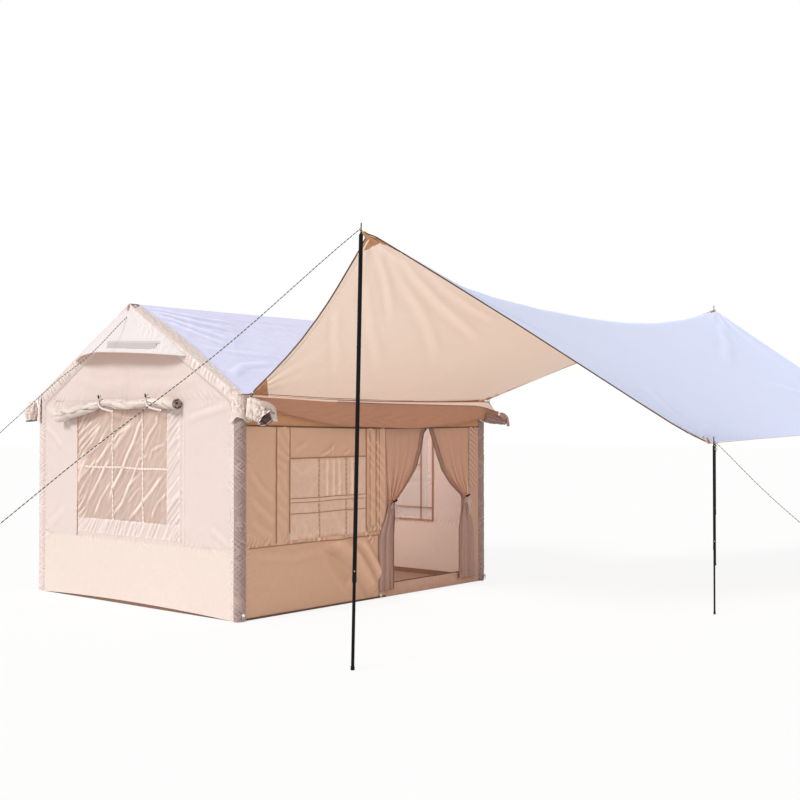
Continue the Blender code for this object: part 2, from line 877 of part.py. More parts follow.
def build_pole(name, foot, lean, height, radii, shown):
    """A two-piece pole: the foot section slides up into the upper section."""
    upper_radius, foot_radius = radii
    axis = (Vector((0.0, 0.0, height)) + lean).normalized()
    place = along(foot, axis)
    bore = foot_radius + gap
    top = height - shoulder_length
    bore_top = height - pole_plug
    upper = [
        (0.0, height + pin_length),
        (pin_radius / 2, height + pin_length),
        (pin_radius, height + pin_length - pin_radius),
        (pin_radius, height),
        (upper_radius, top),
        (upper_radius, shown),
        (bore, shown),
        (bore, bore_top),
        (0.0, bore_top),
    ]
    item = turned(name + "_pole_upper", upper, place, 12)
    paint(item, POLE_COLOUR, 0.35, 0.6)
    inside = foot_radius - pole_wall
    high = shown + foot_insertion
    lower = [
        (0.0, pole_wall),
        (inside, pole_wall),
        (inside, high),
        (foot_radius, high),
        (foot_radius, 0.0),
        (0.0, 0.0),
    ]
    item = turned(name + "_pole_foot", lower, place, 12)
    paint(item, POLE_COLOUR, 0.35, 0.6)
    return {"foot": foot, "top": foot + axis * height, "axis": axis}


def build_poles():
    """Two tall poles at the ends of the canopy's ridge and two low ones at its front."""
    tall = (tall_upper_radius, tall_foot_radius)
    low = (low_upper_radius, low_foot_radius)
    upright = Vector((0.0, 0.0, 0.0))
    lean = Vector((near_tall_lean_right, -near_tall_lean_ahead, 0.0))
    places = {
        "near_tall": (-half_length - near_tall_out, near_tall_ahead, lean),
        "far_tall": (half_length + far_tall_out, far_tall_ahead, upright),
        "near_low": (half_length - near_low_in, near_low_ahead, upright),
        "far_low": (half_length + far_low_out, far_low_ahead, upright),
    }
    builds = {
        "near_tall": (tall_pole_height, tall, tall_foot_shown),
        "far_tall": (tall_pole_height, tall, tall_foot_shown),
        "near_low": (low_pole_height, low, low_foot_shown),
        "far_low": (far_low_pole_height, low, far_low_foot_shown),
    }
    poles = {}
    for name, (x, ahead, lean) in places.items():
        foot = Vector((x, -half_width - ahead, 0.0))
        poles[name] = build_pole(name, foot, lean, *builds[name])
    return poles


def rope_route(start, end, straight_share):
    """Points of a taut rope: a slight sag in its upper part, then straight to its peg."""
    points = []
    span = (end - start).length
    bend = 1 - straight_share
    for index in range(rope_points):
        share = index / (rope_points - 1)
        point = start.lerp(end, share)
        if share < bend:
            point.z -= rope_sag_share * span * sin(pi * share / bend) ** 2
        points.append(point)
    return points


def build_guy(name, start, peg, straight_share, runner_from_peg):
    """A guy rope with its runner and its peg."""
    away = peg - start
    steep = -away.normalized().z
    away.z = 0.0
    away.normalize()
    end = peg - away * (peg_radius + rope_radius * steep + gap)
    end.z = rope_tie_height
    begin = start + away * (rope_radius * steep + gap)
    route = rope_route(begin, end, straight_share)
    rope = tube("guy_rope_" + name, route, rope_radius, cord_resolution)
    paint(rope, ROPE_COLOUR, 0.8)
    line = (end - begin).normalized()
    bore = rope_radius + gap
    half = runner_length / 2
    profile = [
        (bore, half),
        (runner_radius, half),
        (runner_radius * 0.75, 0.0),
        (runner_radius, -half),
        (bore, -half),
        (bore, half),
    ]
    place = along(end - line * runner_from_peg, line)
    paint(turned("rope_runner_" + name, profile, place, 12), PLASTIC_COLOUR, 0.5)
    hook = [
        peg,
        peg + Vector((0.0, 0.0, rope_tie_height)),
        peg + away * (peg_lean * 0.3) + Vector((0.0, 0.0, peg_height * 0.85)),
        peg + away * peg_lean + Vector((0.0, 0.0, peg_height)),
        peg + away * (peg_lean * 1.8) + Vector((0.0, 0.0, peg_height * 0.8)),
        peg + away * (peg_lean * 2.0) + Vector((0.0, 0.0, peg_height * 0.5)),
    ]
    paint(tube("ground_peg_" + name, hook, peg_radius, cord_resolution), POLE_COLOUR, 0.4, 0.8)


def build_guys(poles):
    """The three guy ropes that show."""
    pegs = {
        "near_tall": Vector((-near_tall_peg_left, near_tall_peg_behind, 0.0)),
        "near_low": Vector((near_low_peg_right, -near_low_peg_ahead, 0.0)),
    }
    for name, offset in pegs.items():
        pole = poles[name]
        peg = pole["foot"] + offset
        away = peg - pole["top"]
        away.z = 0.0
        away.normalize()
        grip = pole["top"] + pole["axis"] * (pin_length / 3) + away * pin_radius
        build_guy(name, grip, peg, pole_rope_straight_share, pole_runner_from_peg)
    height = peak_axis_z - bend_radius * (1 / cos(slope) - 1)
    peg = Vector((-half_length - gable_peg_left, gable_peg_behind, 0.0))
    loop = Vector((-half_length, 0.0, height))
    build_guy("gable", loop, peg, gable_rope_straight_share, gable_runner_from_peg)


def build_sliders():
    """Zip sliders at both sides of the front window."""
    y = -(wall_y + gap + slider_thickness / 2)
    half = slider_width / 2
    tab = slider_tab_width / 2
    outline = [
        (-tab, -slider_tab_length),
        (tab, -slider_tab_length),
        (tab, 0.0),
        (half, 0.0),
        (half, slider_length),
        (-half, slider_length),
        (-half, 0.0),
        (-tab, 0.0),
    ]
    zips = (
        ("left", front_window_left - slider_zip_offset),
        ("right", front_window_right + slider_zip_offset),
    )
    for name, x in zips:
        plane = long_plane(y) @ Matrix.Translation((x, slider_rest_height, 0.0))
        item = panel("zip_slider_" + name, outline, [], slider_thickness, plane)
        paint(item, POLE_COLOUR, 0.4, 0.7)


def main():
    clear_scene()
    left_arch = build_air_frame()
    build_valve(left_arch)
    build_gable(-1, "left")
    build_gable(1, "right")
    build_front_wall()
    build_back_wall()
    build_curtains()
    build_eave_flap()
    build_bundles()
    build_roof()
    build_floor()
    poles = build_poles()
    build_canopy(poles)
    build_guys(poles)
    build_sliders()


main()
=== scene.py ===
"""Inflatable ridge tent with a canopy: everything that shows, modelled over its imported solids.

X runs along the front wall, Y into the tent, Z up, in metres.
"""

from math import atan2, cos, exp, hypot, pi, radians, sin, sqrt, tan

import bpy
from bpy.props import FloatProperty, FloatVectorProperty, PointerProperty
from bpy.types import Operator, Panel, PropertyGroup
from mathutils import Matrix, Vector, noise
import numpy


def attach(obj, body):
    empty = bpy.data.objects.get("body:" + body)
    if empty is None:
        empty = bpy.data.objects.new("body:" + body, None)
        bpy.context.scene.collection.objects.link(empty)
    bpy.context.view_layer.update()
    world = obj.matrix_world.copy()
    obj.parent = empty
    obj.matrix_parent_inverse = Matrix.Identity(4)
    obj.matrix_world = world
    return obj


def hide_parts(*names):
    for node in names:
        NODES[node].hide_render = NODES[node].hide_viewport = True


bl_info = {
    "name": "Inflatable Tent",
    "version": (1, 0, 0),
    "blender": (4, 5, 0),
    "location": "View3D > Sidebar > Tent",
    "description": "Models an inflatable tent and its canopy, piece by piece",
    "category": "Add Mesh",
}

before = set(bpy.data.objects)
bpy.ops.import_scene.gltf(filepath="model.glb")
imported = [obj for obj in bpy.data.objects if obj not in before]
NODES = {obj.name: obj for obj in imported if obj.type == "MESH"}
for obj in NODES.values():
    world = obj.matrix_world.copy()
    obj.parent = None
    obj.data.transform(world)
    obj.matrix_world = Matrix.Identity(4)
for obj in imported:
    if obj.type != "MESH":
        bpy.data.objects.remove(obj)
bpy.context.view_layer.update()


def metres(name, text, default):
    """A length that a user may change."""
    return FloatProperty(name=name, description=text, default=default, unit="LENGTH", precision=4)


def level(name, text, default):
    """A plain number from 0 up."""
    return FloatProperty(name=name, description=text, default=default, min=0.0)


def tint(name, text, red, green, blue):
    """A colour given in display values from 0 to 255, kept as scene-linear."""
    linear = [((part / 255 + 0.055) / 1.055) ** 2.4 for part in (red, green, blue)]
    return FloatVectorProperty(
        name=name, description=text, default=linear, subtype="COLOR", size=3, min=0.0, max=1.0
    )


class TentSizes(PropertyGroup):
    length: metres("Length", "Along the front wall and the ridge", 3.30)
    width: metres("Depth", "From the front wall to the back wall", 2.80)
    eave: metres("Eave height", "Height of the roof's lower edges", 1.80)
    ridge: metres("Ridge height", "Height of the ridge", 2.60)
    tube: metres("Tube radius", "Radius of the air tubes", 0.060)
    bend: metres("Bend radius", "Radius of an arch's corners at the tube's middle", 0.150)
    cloth: metres("Wall cloth", "Thickness of the wall cloth as modelled", 0.003)
    soft: metres("Soft cloth", "Thickness of curtains, flaps and nets as modelled", 0.002)
    gap: metres("Clearance", "Space between neighbouring pieces", 0.0003)
    wall_offset: metres("Wall offset", "From the tubes' middle plane out to the walls", 0.040)
    header: metres("Header seam", "Height of the seam over door and window", 1.53)
    skirt: metres("Skirt seam", "Height of the seam above the skirts", 0.557)
    door_left: metres("Door left", "X of the door's left post", 0.14)
    door_right: metres("Door right", "X of the door's right post", 1.38)
    door_apex: metres("Door apex", "X where the two curtains meet", 0.75)
    sill: metres("Door sill", "Height of the door sill", 0.13)
    roll: metres("Roll radius", "Radius of a rolled window cover", 0.060)


class CanopySizes(PropertyGroup):
    ridge_sag: metres("Ridge sag", "Deepest sag of the canopy's ridge", 0.32)
    edge_sag: metres("Eave edge sag", "Sag of the edge along the tent's eave", 0.032)
    panel_sag: metres("Panel sag", "Sag of each half between ridge and edge", 0.030)
    near_back: metres("Near back bow", "Bow of the edge from eave to near tall pole", 0.126)
    near_front: metres("Near front bow", "Bow of the edge between the near poles", 0.055)
    far_back: metres("Far back bow", "Bow of the edge from eave to far tall pole", 0.050)
    far_front: metres("Far front bow", "Bow of the edge between the far poles", 0.055)
    front_edge: metres("Front edge bow", "Bow of the front edge", 0.012)
    cloth: metres("Canopy cloth", "Thickness of the canopy as modelled", 0.002)
    hem: metres("Hem width", "Width of the canopy's edge binding", 0.028)
    rope: metres("Rope radius", "Radius of the guy ropes", 0.0028)


class TentColours(PropertyGroup):
    # Painted light: the front wall's sand is a warmer copy of the gables' pale cloth, which is the same
    # fabric; the warmth stands in for the warm light in the canopy's shade.
    wall: tint("Front wall", "Sand cloth of the front wall", 222, 183, 155)
    strip: tint("Wall strips", "Sewn strips beside the window and the door", 206, 168, 150)
    header: tint("Header", "Cloth over door and window", 208, 156, 118)
    gable: tint("Gable wall", "Pale cloth of the gables", 216, 200, 195)
    skirt: tint("Gable skirt", "Cloth of the gable skirts", 221, 206, 198)
    hood: tint("Vent hood", "Cloth of the hoods under the peaks", 219, 211, 211)
    # Painted light: a saturated orange that also glows with the glow strength, standing in for warm
    # light under each hood.
    hood_under: tint("Hood underside", "Lit cloth seen under the vent hoods", 238, 176, 126)
    # Painted shade: a darker copy of the pale band cloth, worn by the columns' front and back faces to
    # stand in for the shade they face into; the ridge and eave tubes wear it too.
    sleeve: tint("Tube sleeve", "Crinkled sleeves of the air tubes", 160, 139, 134)
    roof: tint("Roof", "Outer cloth of the roof", 224, 224, 250)
    band: tint("Roof band", "Crinkled cloth over the rafters and the corner caps", 218, 202, 196)
    canopy_top: tint("Canopy top", "Outer side of the canopy", 218, 226, 255)
    # Painted light: the canopy's underside glows with the glow strength, standing in for light that
    # comes through the cloth; its hem lines, patch pipings and the eave valance share this glowing
    # finish.
    canopy_under: tint("Canopy underside", "Underside of the canopy", 228, 207, 192)
    patch: tint("Corner patch", "Reinforcing patches at the canopy's corners", 202, 146, 102)
    hem: tint("Hem", "Dark binding round the canopy", 104, 70, 50)
    flap: tint("Eave flap", "Flap that hangs under the front eave", 196, 148, 122)
    curtain: tint("Curtains", "Door curtains", 206, 163, 141)
    net: tint("Window net", "Fine net of the windows", 204, 184, 174)
    tape: tint("Window tapes", "Tapes across the windows", 236, 222, 212)
    seam: tint("Seams", "Stitched seams and zip tapes of the front wall", 176, 128, 102)
    bundle: tint("Gathered cloth", "Rolled and gathered pieces", 216, 202, 194)
    fallen: tint("Lower curtains", "Door curtains below their ties", 178, 146, 136)
    front_net: tint("Front net", "Fine net of the front and back windows", 240, 208, 188)
    # Lining and painted shade: the inner face of rolled and gathered cloth, painted dark as the shade in
    # their hollows and open ends; it also colours webbing, the flap's edge, the curtains' inner edges
    # and, as shade under the canopy, the front-right gathered piece.
    lining: tint("Lining", "Inner side of rolled and gathered cloth", 158, 132, 124)
    floor: tint("Groundsheet", "Coated groundsheet", 138, 104, 84)
    black: tint("Black fittings", "Poles, toggles and sliders", 9, 9, 11)
    rope: tint("Rope", "Dark strands of the guy ropes", 16, 16, 20)
    # Painted shadow: the grey strip just under each hood's pale batten strap.
    batten: tint("Batten", "Grey tape across each vent hood", 186, 178, 176)
    fleck: tint("Rope flecks", "Pale strands of the guy ropes", 190, 186, 182)
    plastic: tint("Pale fittings", "Rings, balls and runners", 226, 226, 224)


class StageLight(PropertyGroup):
    sun: level("Sun", "Strength of the soft key light", 2.3)
    world: level("World", "Strength of the even light all round", 0.62)
    inside: level("Inside", "Strength of the soft light through the tent's roof cloth", 58.0)
    # Painted light: glow is the emission strength of the canopy's and the hoods' undersides, which are
    # no lamps.
    glow: level("Glow", "Light that comes through the canopy's cloth", 0.27)


class Plan:
    """Places that follow from the tent's sizes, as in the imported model."""

    def __init__(self):
        size = bpy.context.scene.tent_sizes
        self.size = size
        self.half_length = size.length / 2
        self.half_width = size.width / 2
        self.slope = atan2(size.ridge - size.eave, self.half_width)
        self.column_x = self.half_length - size.tube
        self.column_y = self.half_width - size.tube
        self.peak_z = size.ridge - (size.cloth + size.gap + size.tube) / cos(self.slope)
        self.corner_z = self.peak_z - self.column_y * tan(self.slope)
        self.wall_x = self.column_x + size.wall_offset
        self.wall_y = self.column_y + size.wall_offset
        self.bottom = size.cloth + size.gap
        self.reach = sqrt(size.tube ** 2 - (size.wall_offset - size.cloth) ** 2) + size.gap


# ---------------------------------------------------------------- small helpers


def clamp(value, low=0.0, high=1.0):
    return max(low, min(high, value))


def ease(value):
    value = clamp(value)
    return value * value * (3 - 2 * value)


def ramp(value, stops):
    """Read a curve of (position, value) stops by straight runs."""
    for (a, first), (b, second) in zip(stops, stops[1:]):
        if value <= b:
            return first + (second - first) * (value - a) / (b - a)
    return stops[-1][1]


def smooth_ramp(value, stops):
    """Read a curve of stops with a little rounding at each stop."""
    reach = 0.03
    return sum(ramp(clamp(value + reach * k), stops) for k in (-1, -0.5, 0, 0.5, 1)) / 5


def spread(*stops):
    """Positions from stop to stop: start, steps, next stop, steps, next stop."""
    places = [stops[0]]
    for start, steps, end in zip(stops[::2], stops[1::2], stops[2::2]):
        places += [start + (end - start) * (step + 1) / steps for step in range(steps)]
    return places


def ripple(a, b, size, seed=0.0):
    """Soft unevenness from -1 to 1, with bumps of about the given size."""
    return noise.noise(Vector((a / size, b / size, seed)))


def crumple(a, b, size, seed=0.0):
    """Sharp creases from 0 to 1, as in cloth that was packed away."""
    first = 1 - abs(noise.noise(Vector((a / size, b / size, seed)))) * 2
    second = 1 - abs(noise.noise(Vector((a / size * 2.1, b / size * 2.1, seed + 7)))) * 2
    return clamp(first) ** 2 * 0.65 + clamp(second) ** 2 * 0.35


def streaks(across, along, pitch, length, seed=0.0):
    """Narrow creases from 0 to 1 that run about a length along one direction."""
    value = noise.noise(Vector((across / pitch, along / length, seed)))
    return clamp(1 - 3 * abs(value)) ** 1.5


def pucker(along, away, pitch, reach, seed=0.0):
    """Small gathers across a seam, fading out on both sides of it."""
    if abs(away) > reach * 4:
        return 0.0
    turn = along / pitch + 1.6 * noise.noise(Vector((along / pitch / 2.5, seed, away * 9)))
    patch = clamp(0.45 + 1.3 * noise.noise(Vector((along / pitch / 4, seed + 3, away * 5))))
    return sin(2 * pi * turn) * exp(-abs(away) / reach) * patch


def folds_at(a, b, folds):
    """Height of drawn folds at one place; each is a run of points, a width and a height."""
    total = 0.0
    for path, width, height in folds:
        nearest, share, count = width, 0.0, len(path) - 1
        for index in range(count):
            (ax, ay), (bx, by) = path[index], path[index + 1]
            dx, dy = bx - ax, by - ay
            run = clamp(((a - ax) * dx + (b - ay) * dy) / (dx * dx + dy * dy))
            away = hypot(a - ax - dx * run, b - ay - dy * run)
            if away < nearest:
                nearest, share = away, (index + run) / count
        if nearest < width:
            side = 1 - (nearest / width) ** 2
            total += height * side * side * min(1.0, 5 * share + 0.15, 5 * (1 - share) + 0.15)
    return total


def run_lengths(points):
    """Distance from the first point of a run to each of its points."""
    lengths = [0.0]
    for before, after in zip(points, points[1:]):
        lengths.append(lengths[-1] + (after - before).length)
    return lengths


def resample(points, step):
    """The same run of points, spaced evenly."""
    points = [Vector(point) for point in points]
    lengths = run_lengths(points)
    count = max(2, int(round(lengths[-1] / step)))
    result, index = [], 0
    for number in range(count + 1):
        want = lengths[-1] * number / count
        while index < len(points) - 2 and lengths[index + 1] < want:
            index += 1
        run = lengths[index + 1] - lengths[index]
        result.append(points[index].lerp(points[index + 1], (want - lengths[index]) / run))
    return result


def softened(points, rounds=2):
    """Corner cutting, so that a run of a few points becomes a smooth curve."""
    points = [Vector(point) for point in points]
    for _ in range(rounds):
        fresh = [points[0]]
        for before, after in zip(points, points[1:]):
            fresh += [before.lerp(after, 0.25), before.lerp(after, 0.75)]
        points = fresh + [points[-1]]
    return points


def turns(steps):
    """Angles once round, with the first one again at the end."""
    return [2 * pi * step / steps for step in range(steps + 1)]


def rim_fade(a, b, box, reach):
    """0 on the rim of a box (left, right, bottom, top), 1 from a reach inside it."""
    left, right, bottom, top = box
    return clamp(min(a - left, right - a, b - bottom, top - b) / reach)


# ---------------------------------------------------------------- cloth in code


# Thicknesses of thin cloth, sewn strips, rolled cloth and tapes
THIN, STRIP, ROLLED, TAPE = 0.0015, 0.0018, 0.0025, 0.0016
# UVs of a small triangle that closes an end
CAP_UVS = ((0, 0), (0.01, 0), (0, 0.01))


class Cloth:
    """Grids, straps and tubes of cloth that become one mesh, with UVs in metres."""

    def __init__(self):
        self.points, self.faces, self.uvs, self.slots, self.lifts = [], [], [], [], []

    def add_point(self, point, lift=0.0):
        self.points.append(Vector(point))
        self.lifts.append(lift)
        return len(self.points) - 1

    def add_face(self, corners, uvs, slot=0):
        self.faces.append(tuple(corners))
        self.uvs.append(tuple(uvs))
        self.slots.append(slot)

    def grid(self, place, us, vs, slot=0, skip=None, closed=False, scale=(1.0, 1.0)):
        """place(u, v) gives a point, or a point and how far it stands proud from 0 to 1."""
        first, columns = len(self.points), len(us)
        for v in vs:
            for u in us:
                found = place(u, v)
                if isinstance(found, tuple):
                    self.add_point(*found)
                else:
                    self.add_point(found)
        across = list(us) + ([us[-1] + (us[1] - us[0])] if closed else [])
        for row in range(len(vs) - 1):
            for column in range(len(across) - 1):
                after = (column + 1) % columns
                u, v = (across[column] + across[column + 1]) / 2, (vs[row] + vs[row + 1]) / 2
                if skip and skip(u, v):
                    continue
                a, b = first + row * columns + column, first + row * columns + after
                corners = (a, b, b + columns, a + columns)
                u0, u1 = across[column] * scale[0], across[column + 1] * scale[0]
                v0, v1 = vs[row] * scale[1], vs[row + 1] * scale[1]
                number = slot(u, v) if callable(slot) else slot
                self.add_face(corners, ((u0, v0), (u1, v0), (u1, v1), (u0, v1)), number)

    def ribbon(self, path, normal, width, thickness, slot=0):
        """A flat strap: normal may be one value or one for each point."""
        path = [Vector(point) for point in path]
        count, first, runs = len(path), len(self.points), run_lengths(path)
        normals = normal if isinstance(normal, list) else [Vector(normal)] * count
        for index, point in enumerate(path):
            ahead = path[min(index + 1, count - 1)] - path[max(index - 1, 0)]
            up = normals[index].normalized()
            side = ahead.cross(up).normalized() * width / 2
            lift = up * thickness / 2
            for corner in (side + lift, -side + lift, -side - lift, side - lift):
                self.add_point(point + corner)
        for index in range(count - 1):
            low, high = runs[index], runs[index + 1]
            for corner in range(4):
                a = first + index * 4 + corner
                b = first + index * 4 + (corner + 1) % 4
                uvs = ((0, low), (width, low), (width, high), (0, high))
                self.add_face((a, b, b + 4, a + 4), uvs, slot)
        last = first + (count - 1) * 4
        flat = ((0, 0), (width, 0), (width, width), (0, width))
        self.add_face((first + 3, first + 2, first + 1, first), flat, slot)
        self.add_face((last, last + 1, last + 2, last + 3), flat, slot)

    def tape(self, place, run, facing, off, width, thickness=TAPE, slot=0):
        """A strap along spots of a surface, a little off it; place(a, b) gives its points."""
        path = []
        for spot in run:
            found = place(*spot)
            point = found[0] if isinstance(found, tuple) else found
            path.append(point + Vector(facing) * off)
        self.ribbon(path, facing, width, thickness, slot)

    def tube(self, path, radius, sides=8, slot=0, reference=(1, 0, 0), shape=None):
        """A round tube; shape(run, angle, radius) may give each point a radius and a lift."""
        path = [Vector(point) for point in path]
        count, first, runs = len(path), len(self.points), run_lengths(path)
        axis = Vector(reference)
        for index, point in enumerate(path):
            ahead = (path[min(index + 1, count - 1)] - path[max(index - 1, 0)]).normalized()
            axis = (axis - ahead * axis.dot(ahead)).normalized()
            other = ahead.cross(axis)
            for side in range(sides):
                angle = 2 * pi * side / sides
                size, lift = shape(runs[index], angle, radius) if shape else (radius, 0.0)
                self.add_point(point + (axis * cos(angle) + other * sin(angle)) * size, lift)
        for index in range(count - 1):
            for side in range(sides):
                after = (side + 1) % sides
                a, b = first + index * sides + side, first + index * sides + after
                u0, u1 = side / sides, (side + 1) / sides
                v0, v1 = runs[index], runs[index + 1]
                uvs = ((u0, v0), (u1, v0), (u1, v1), (u0, v1))
                number = slot((u0 + u1) / 2, path[index]) if callable(slot) else slot
                self.add_face((a, b, b + sides, a + sides), uvs, number)
        end_slot = 0 if callable(slot) else slot
        for start, number, order in ((first, 0, -1), (first + (count - 1) * sides, -1, 1)):
            middle = self.add_point(path[number])
            for side in range(sides):
                pair = [start + side, start + (side + 1) % sides][::order]
                self.add_face((*pair, middle), CAP_UVS, end_slot)

    def mirrored(self, axis):
        """The same cloth on the other side of the tent."""
        other = Cloth()
        other.points = [point.copy() for point in self.points]
        for point in other.points:
            point[axis] = -point[axis]
        other.faces = [tuple(reversed(face)) for face in self.faces]
        other.uvs = [tuple(reversed(uvs)) for uvs in self.uvs]
        other.slots, other.lifts = list(self.slots), list(self.lifts)
        return other


def choose(item):
    """Select one object alone and make it active."""
    bpy.ops.object.select_all(action="DESELECT")
    item.select_set(True)
    bpy.context.view_layer.objects.active = item


def apply_modifier(item, kind, **settings):
    """Add a modifier and apply it."""
    choose(item)
    modifier = item.modifiers.new(kind.title(), kind)
    for key, value in settings.items():
        setattr(modifier, key, value)
    bpy.ops.object.modifier_apply(modifier=modifier.name)


def settle(item, body, replaces=()):
    """Say what a finished piece rides on and stands for."""
    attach(item, body)
    if replaces:
        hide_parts(*replaces)


def mark_creases(mesh, strength):
    """Store how sharply the cloth bends at each point: 0.5 is flat, ridges are higher; the cloth
    finishes paint shade and highlight from it.
    """
    count = len(mesh.vertices)
    places, normals = numpy.empty(count * 3), numpy.empty(count * 3, dtype=numpy.float32)
    mesh.vertices.foreach_get("co", places)
    mesh.vertices.foreach_get("normal", normals)
    pairs = numpy.empty(len(mesh.edges) * 2, dtype=numpy.int32)
    mesh.edges.foreach_get("vertices", pairs)
    places, normals, pairs = places.reshape(-1, 3), normals.reshape(-1, 3), pairs.reshape(-1, 2)
    first, second = pairs[:, 0], pairs[:, 1]
    number = numpy.bincount(pairs.ravel(), minlength=count).clip(1)
    spans = places[second] - places[first]
    squares = (spans ** 2).sum(axis=1).clip(1e-9)
    bend = numpy.zeros(count)
    for start, sign in ((first, 1), (second, -1)):
        numpy.add.at(bend, start, (spans * normals[start]).sum(axis=1) * sign / squares)
    bend /= number
    for _ in range(2):
        total = numpy.zeros(count)
        numpy.add.at(total, first, bend[second])
        numpy.add.at(total, second, bend[first])
        bend = (bend + total / number) / 2
    bend -= numpy.median(bend)
    value = (0.5 - 0.012 * strength * bend).clip(0, 1)
    mesh.attributes.new("crease", "FLOAT", "POINT").data.foreach_set("value", value)


def sew(name, cloth, finishes, facing=None, thickness=0.0, replaces=(), body="tent",
        inner=0, angle=70, flat=None, crease_shading=1.0):
    """Make a piece from cloth: an open sheet gets its thickness, a closed one its normals."""
    mesh = bpy.data.meshes.new(name)
    mesh.from_pydata(cloth.points, [], cloth.faces)
    layer = mesh.uv_layers.new(name="UVMap")
    layer.data.foreach_set("uv", [part for uvs in cloth.uvs for uv in uvs for part in uv])
    mesh.polygons.foreach_set("material_index", cloth.slots)
    # lift: how far the cloth stands proud; finishes with proud paint it lighter there as highlight.
    if any(cloth.lifts):
        proud = mesh.attributes.new("lift", "FLOAT", "POINT")
        proud.data.foreach_set("value", cloth.lifts)
    for finish in finishes:
        mesh.materials.append(finish)
    item = bpy.data.objects.new(name, mesh)
    bpy.context.scene.collection.objects.link(item)
    choose(item)
    if facing is None:
        bpy.ops.object.mode_set(mode="EDIT")
        bpy.ops.mesh.select_all(action="SELECT")
        bpy.ops.mesh.normals_make_consistent(inside=False)
        bpy.ops.object.mode_set(mode="OBJECT")
    else:
        mesh.update()
        towards = sum((polygon.normal * polygon.area for polygon in mesh.polygons), Vector())
        if towards.dot(Vector(facing)) < 0:
            mesh.flip_normals()
    # crease: how sharply the cloth bends; every cloth finish paints hollows darker and ridges lighter
    # from it, as shade and highlight, as strongly as this piece's setting asks.
    mark_creases(mesh, crease_shading)
    if thickness:
        apply_modifier(item, "SOLIDIFY", thickness=thickness, offset=-1.0, material_offset=inner)
    choose(item)
    bpy.ops.object.shade_smooth_by_angle(angle=radians(angle))
    settle(item, body, replaces)
    return item


def turned(name, profile, origin, axis, finish, sides=20, body="tent"):
    """A turned fitting: a circle extruded along (radius, height) steps, closed at both ends."""
    bpy.ops.object.select_all(action="DESELECT")
    radius, height = profile[0]
    bpy.ops.mesh.primitive_circle_add(
        vertices=sides, radius=radius, fill_type="NGON", location=(0, 0, 0)
    )
    item = bpy.context.object
    item.name = item.data.name = name
    bpy.ops.object.mode_set(mode="EDIT")
    bpy.ops.mesh.select_all(action="SELECT")
    bpy.ops.transform.translate(value=(0, 0, height))
    for next_radius, next_height in profile[1:]:
        step = (0, 0, next_height - height)
        bpy.ops.mesh.extrude_region_move(TRANSFORM_OT_translate={"value": step})
        share = next_radius / radius
        bpy.ops.transform.resize(value=(share, share, 1), center_override=(0, 0, next_height))
        radius, height = next_radius, next_height
    bpy.ops.mesh.select_all(action="SELECT")
    bpy.ops.mesh.normals_make_consistent(inside=False)
    bpy.ops.object.mode_set(mode="OBJECT")
    bpy.ops.object.shade_smooth_by_angle(angle=radians(38))
    item.data.transform(along(origin, axis))
    item.data.materials.append(finish)
    settle(item, body)


def ring(name, origin, axis, major, minor, finish):
    """A round ring of wire or moulded plastic."""
    bpy.ops.object.select_all(action="DESELECT")
    bpy.ops.mesh.primitive_torus_add(
        major_radius=major, minor_radius=minor, major_segments=28, minor_segments=10
    )
    item = bpy.context.object
    item.name = item.data.name = name
    bpy.ops.object.shade_smooth()
    item.data.transform(along(origin, axis))
    item.data.materials.append(finish)
    settle(item, "tent")


def along(origin, direction):
    """A frame whose Z axis points along a direction."""
    turn = Vector((0, 0, 1)).rotation_difference(Vector(direction))
    return Matrix.Translation(Vector(origin)) @ turn.to_matrix().to_4x4()


# ---------------------------------------------------------------- materials


# Scale of a wave texture whose bands lie one metre apart
WAVE_RATE = 0.314


def node(tree, kind, inputs=None, **settings):
    """Add a shader node; an input is a value or another node's output."""
    made = tree.nodes.new("ShaderNode" + kind)
    for key, value in settings.items():
        setattr(made, key, value)
    for key, value in (inputs or {}).items():
        if isinstance(value, bpy.types.NodeSocket):
            tree.links.new(value, made.inputs[key])
        else:
            made.inputs[key].default_value = value
    return made


def blank(name):
    """A material with its tree and shader."""
    material = bpy.data.materials.new(name)
    material.use_nodes = True
    return material, material.node_tree, material.node_tree.nodes["Principled BSDF"]


def blend(tree, share, first, second):
    """Mix two colours by a share."""
    made = node(tree, "Mix", {"Factor": share, 6: first, 7: second}, data_type="RGBA")
    return made.outputs[2]


def maths(tree, operation, first, second, **settings):
    """Join two numbers by one operation."""
    return node(tree, "Math", {0: first, 1: second}, operation=operation, **settings).outputs[0]


def shade(colour, share):
    """The same colour, lighter or darker."""
    return (*[clamp(part * share) for part in colour], 1.0)


